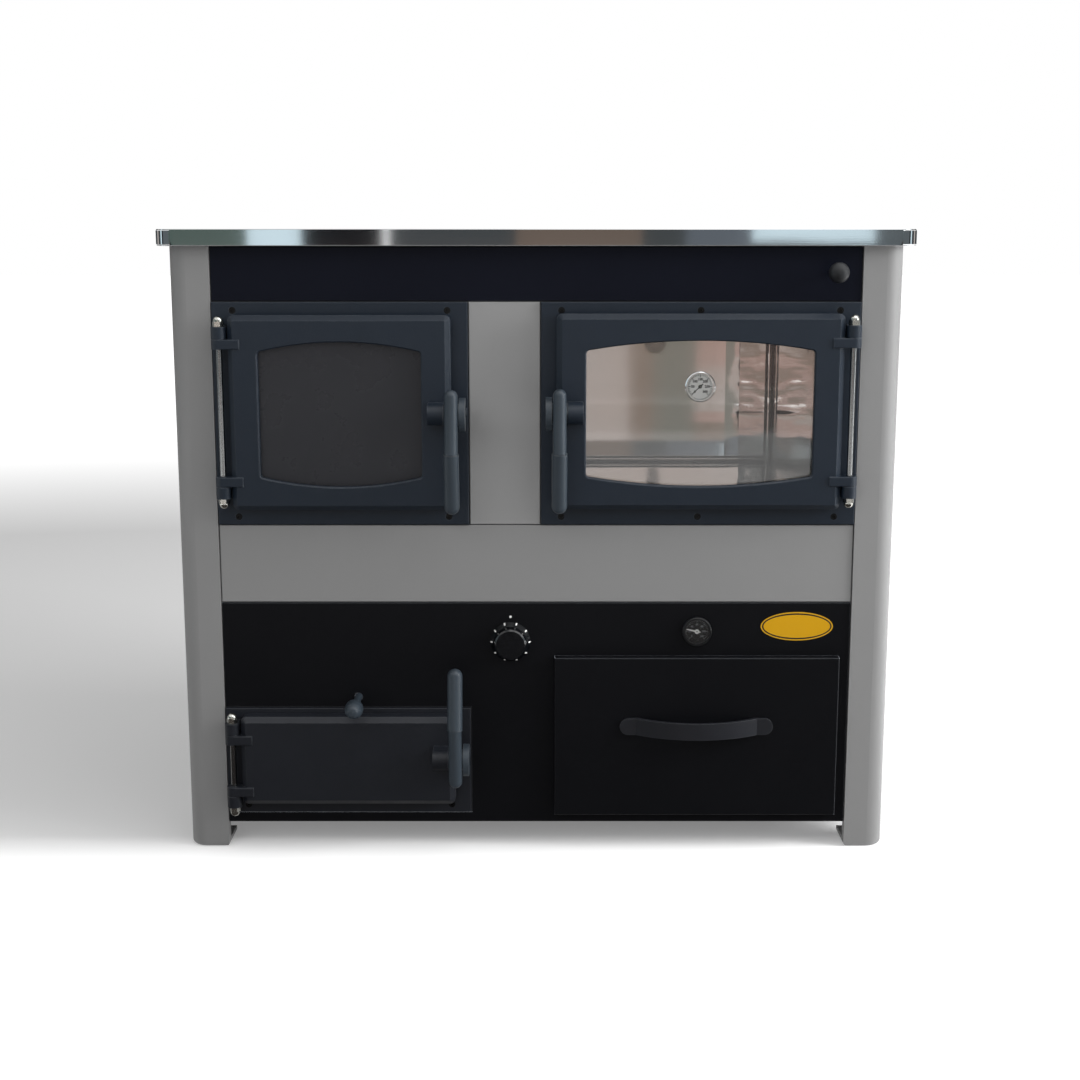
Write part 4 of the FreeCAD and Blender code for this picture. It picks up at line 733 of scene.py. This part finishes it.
def add_skirt_mark(bm, hub, turn):
    """A raised stroke lying on the skirt over a span of its width, at a turn round the knob."""
    start, end = MARK_SPAN
    slope_r = SKIRT_OUTER_R - SKIRT_INNER_R
    corners = []
    for share, side in ((start, -1), (start, 1), (end, 1), (end, -1)):
        radius = SKIRT_INNER_R + share * slope_r
        aside = side * MARK_W / 2
        x = radius * math.sin(turn) + aside * math.cos(turn)
        z = radius * math.cos(turn) - aside * math.sin(turn)
        depth = SKIRT_FRONT + share * SKIRT_DEPTH
        corners.append(Vector((hub.x + x, hub.y + depth, hub.z + z)))
    out = Vector((math.sin(turn) * SKIRT_DEPTH, -slope_r, math.cos(turn) * SKIRT_DEPTH))
    lift = out.normalized() * PRINT_T
    add_prism(bm, [c - lift for c in corners], [c + lift for c in corners])


def make_knob_marks():
    hub = centre("thermostat_knob")
    hub.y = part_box("thermostat_knob")[0].y
    spot = facing(hub.x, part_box("lower_panel")[0].y, hub.z + DOT_UP)

    def marks(bm):
        for k in range(SKIRT_MARKS):
            add_skirt_mark(bm, hub, 2 * math.pi * (k + 0.5) / SKIRT_MARKS)

    def dot(bm):
        add_ring(bm, PRINT_HOLE_R, DOT_R, PRINT_T, spot, DOT_STEPS)

    new_piece("thermostat_marks", marks, LOOKS["pointer_white"], "thermostat")
    new_piece("thermostat_dot", dot, LOOKS["pointer_white"], "cabinet")


# Plain oval plate near the lower panel's upper right corner

PLATE_IN = 73.0 * MM
PLATE_DOWN = 33.2 * MM
PLATE_W = 99.0 * MM
PLATE_H = 40.0 * MM
PLATE_T = 0.8 * MM
PLATE_MARGIN = 1.8 * MM
PLATE_LINE = 2.0 * MM
PLATE_STEPS = 96


def oval(inset):
    """Outline of the oval plate, drawn in from its edge."""
    half_w, half_h = PLATE_W / 2 - inset, PLATE_H / 2 - inset
    return [(half_w * math.cos(t), half_h * math.sin(t)) for t in round_turns(PLATE_STEPS)]


def make_plate():
    """A plain enamelled oval with a dark line round it."""
    low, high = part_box("lower_panel")
    x, z = high.x - PLATE_IN, high.z - PLATE_DOWN
    back, front = facing(x, low.y, z), facing(x, low.y - PLATE_T, z)

    def enamel(bm):
        add_slab(bm, oval(0.0), PLATE_T, back)
        add_slab(bm, oval(PLATE_MARGIN + PLATE_LINE), 2 * PRINT_T, front)

    def line(bm):
        add_slab(bm, oval(PLATE_MARGIN), PRINT_T, front)

    new_piece("oval_plate", enamel, AMBER, "cabinet")
    new_piece("oval_plate_line", line, LOOKS["pointer_black"], "cabinet")


dress_nodes()
make_dial("oven", "oven_gauge_needle", "oven_gauge_case", "oven_door", "pointer_white",
          LOOKS["pointer_black"], range(0, 301, 50), figure=0.27)
make_dial("boiler", "boiler_gauge_needle", "boiler_gauge_case", "cabinet", "dial_black",
          SCALE_INK, range(0, 121, 20), figure=0.22)
make_needle_paint()
make_oven_seam()
make_knob_marks()
make_plate()


# Stage: floor, reflection cards, lamps, world and camera

def stage_quad(name, corners, look):
    mesh = bpy.data.meshes.new(name)
    mesh.from_pydata(corners, [], [(0, 1, 2, 3)])
    mesh.materials.append(look)
    made = bpy.data.objects.new(name, mesh)
    bpy.context.scene.collection.objects.link(made)
    return made


def seen_share(tree):
    """1 for camera, glossy and transmission rays, 0 for the rest."""
    path = tree.nodes.new("ShaderNodeLightPath")
    total = path.outputs["Is Camera Ray"]
    for ray in ("Is Glossy Ray", "Is Transmission Ray"):
        made = tree.nodes.new("ShaderNodeMath")
        made.operation = "MAXIMUM"
        tree.links.new(total, made.inputs[0])
        tree.links.new(path.outputs[ray], made.inputs[1])
        total = made.outputs[0]
    return total


def floor_look():
    """Pale floor that keeps the shadows under and left of the stove and fades to white elsewhere."""
    g = Graph("StageFloor")
    fade = g.span(g.vector("DISTANCE", g.place, FADE_FROM)["Value"], FLOOR_GLOW, 1.0, *FADE_FAR)
    axes = g.split(g.place)
    for axis, ramp in (("Y", FADE_FRONT), ("X", FADE_RIGHT)):
        fade = g.math("MAXIMUM", fade, g.span(axes[axis], FLOOR_GLOW, 1.0, *ramp))
    lit = g.node("ShaderNodeBsdfDiffuse", Color=FLOOR_COLOR)
    glow = g.node("ShaderNodeEmission", Color=WHITE, Strength=g.math("MULTIPLY", seen_share(g.tree), fade))
    both = g.join(g.node("ShaderNodeAddShader"), lit, glow)
    g.link(both.outputs[0], g.out.inputs["Surface"])
    return g.mat


def rect_xy(x0, x1, y0, y1, z):
    return [(x0, y0, z), (x1, y0, z), (x1, y1, z), (x0, y1, z)]


def rect_xz(x0, x1, z0, z1, y):
    return [(x0, y, z0), (x1, y, z0), (x1, y, z1), (x0, y, z1)]


def rect_yz(y0, y1, z0, z1, x):
    return [(x, y0, z0), (x, y1, z0), (x, y1, z1), (x, y0, z1)]


def make_card(name, corners, color):
    """A glowing card that only reflections see."""
    g = Graph(name)
    g.link(g.node("ShaderNodeEmission", Color=color).outputs[0], g.out.inputs["Surface"])
    card = stage_quad(name, corners, g.mat)
    card.visible_camera = False
    card.visible_diffuse = False
    card.visible_shadow = False
    card.visible_transmission = False


def make_stage():
    stage_quad("floor", rect_xy(-FLOOR_HALF, FLOOR_HALF, -FLOOR_HALF, FLOOR_HALF, 0.0), floor_look())
    for k, (x0, x1, z0, z1, color) in enumerate(CARDS):
        make_card("card_%d" % k, rect_xz(x0, x1, z0, z1, CARD_WALL), color)
    for side, x in (("left", -SIDE_CARD_X), ("right", SIDE_CARD_X)):
        for k, (y0, y1, color) in enumerate(SIDE_CARDS):
            make_card("%s_card_%d" % (side, k), rect_yz(y0, y1, 0.0, CARD_TOP, x), color)
    make_card("pane_card", rect_yz(*PANE_Y, *PANE_Z, SIDE_CARD_X - PANE_GAP), GLINT)
    make_card("low_card", rect_xy(*LOW_CARD_X, *LOW_CARD_Y, LOW_CARD_Z), UMBER)


def make_lamps():
    aim = (CAD_BOX[0] + CAD_BOX[1]) / 2
    for name, (at, size, watts) in LAMPS.items():
        data = bpy.data.lights.new(name, "AREA")
        data.shape = "SQUARE"
        data.size = size
        data.energy = watts
        lamp = bpy.data.objects.new(name, data)
        lamp.location = at
        lamp.rotation_euler = (aim - Vector(at)).to_track_quat("-Z", "Y").to_euler()
        lamp.visible_glossy = name not in UNSEEN_LAMPS
        bpy.context.scene.collection.objects.link(lamp)


def make_world():
    """A plain sky, white to the camera and in reflections and weaker as light."""
    world = bpy.data.worlds.new("Studio")
    world.use_nodes = True
    tree = world.node_tree
    tree.nodes.clear()
    out = tree.nodes.new("ShaderNodeOutputWorld")
    choose = tree.nodes.new("ShaderNodeMixShader")
    tree.links.new(seen_share(tree), choose.inputs[0])
    for slot, strength in ((1, SKY_FILL), (2, 1.0)):
        sky = tree.nodes.new("ShaderNodeBackground")
        sky.inputs["Color"].default_value = (*WHITE, 1.0)
        sky.inputs["Strength"].default_value = strength
        tree.links.new(sky.outputs[0], choose.inputs[slot])
    tree.links.new(choose.outputs[0], out.inputs["Surface"])
    bpy.context.scene.world = world


def make_camera():
    data = bpy.data.cameras.new("Camera")
    data.lens = LENS_MM
    data.sensor_width = SENSOR_MM
    camera = bpy.data.objects.new("Camera", data)
    camera.location = CAMERA_AT
    camera.rotation_euler = (math.radians(CAMERA_TILT), 0.0, 0.0)
    bpy.context.scene.collection.objects.link(camera)
    bpy.context.scene.camera = camera


make_stage()
make_lamps()
make_world()
make_camera()
bpy.context.scene.view_settings.view_transform = "Standard"
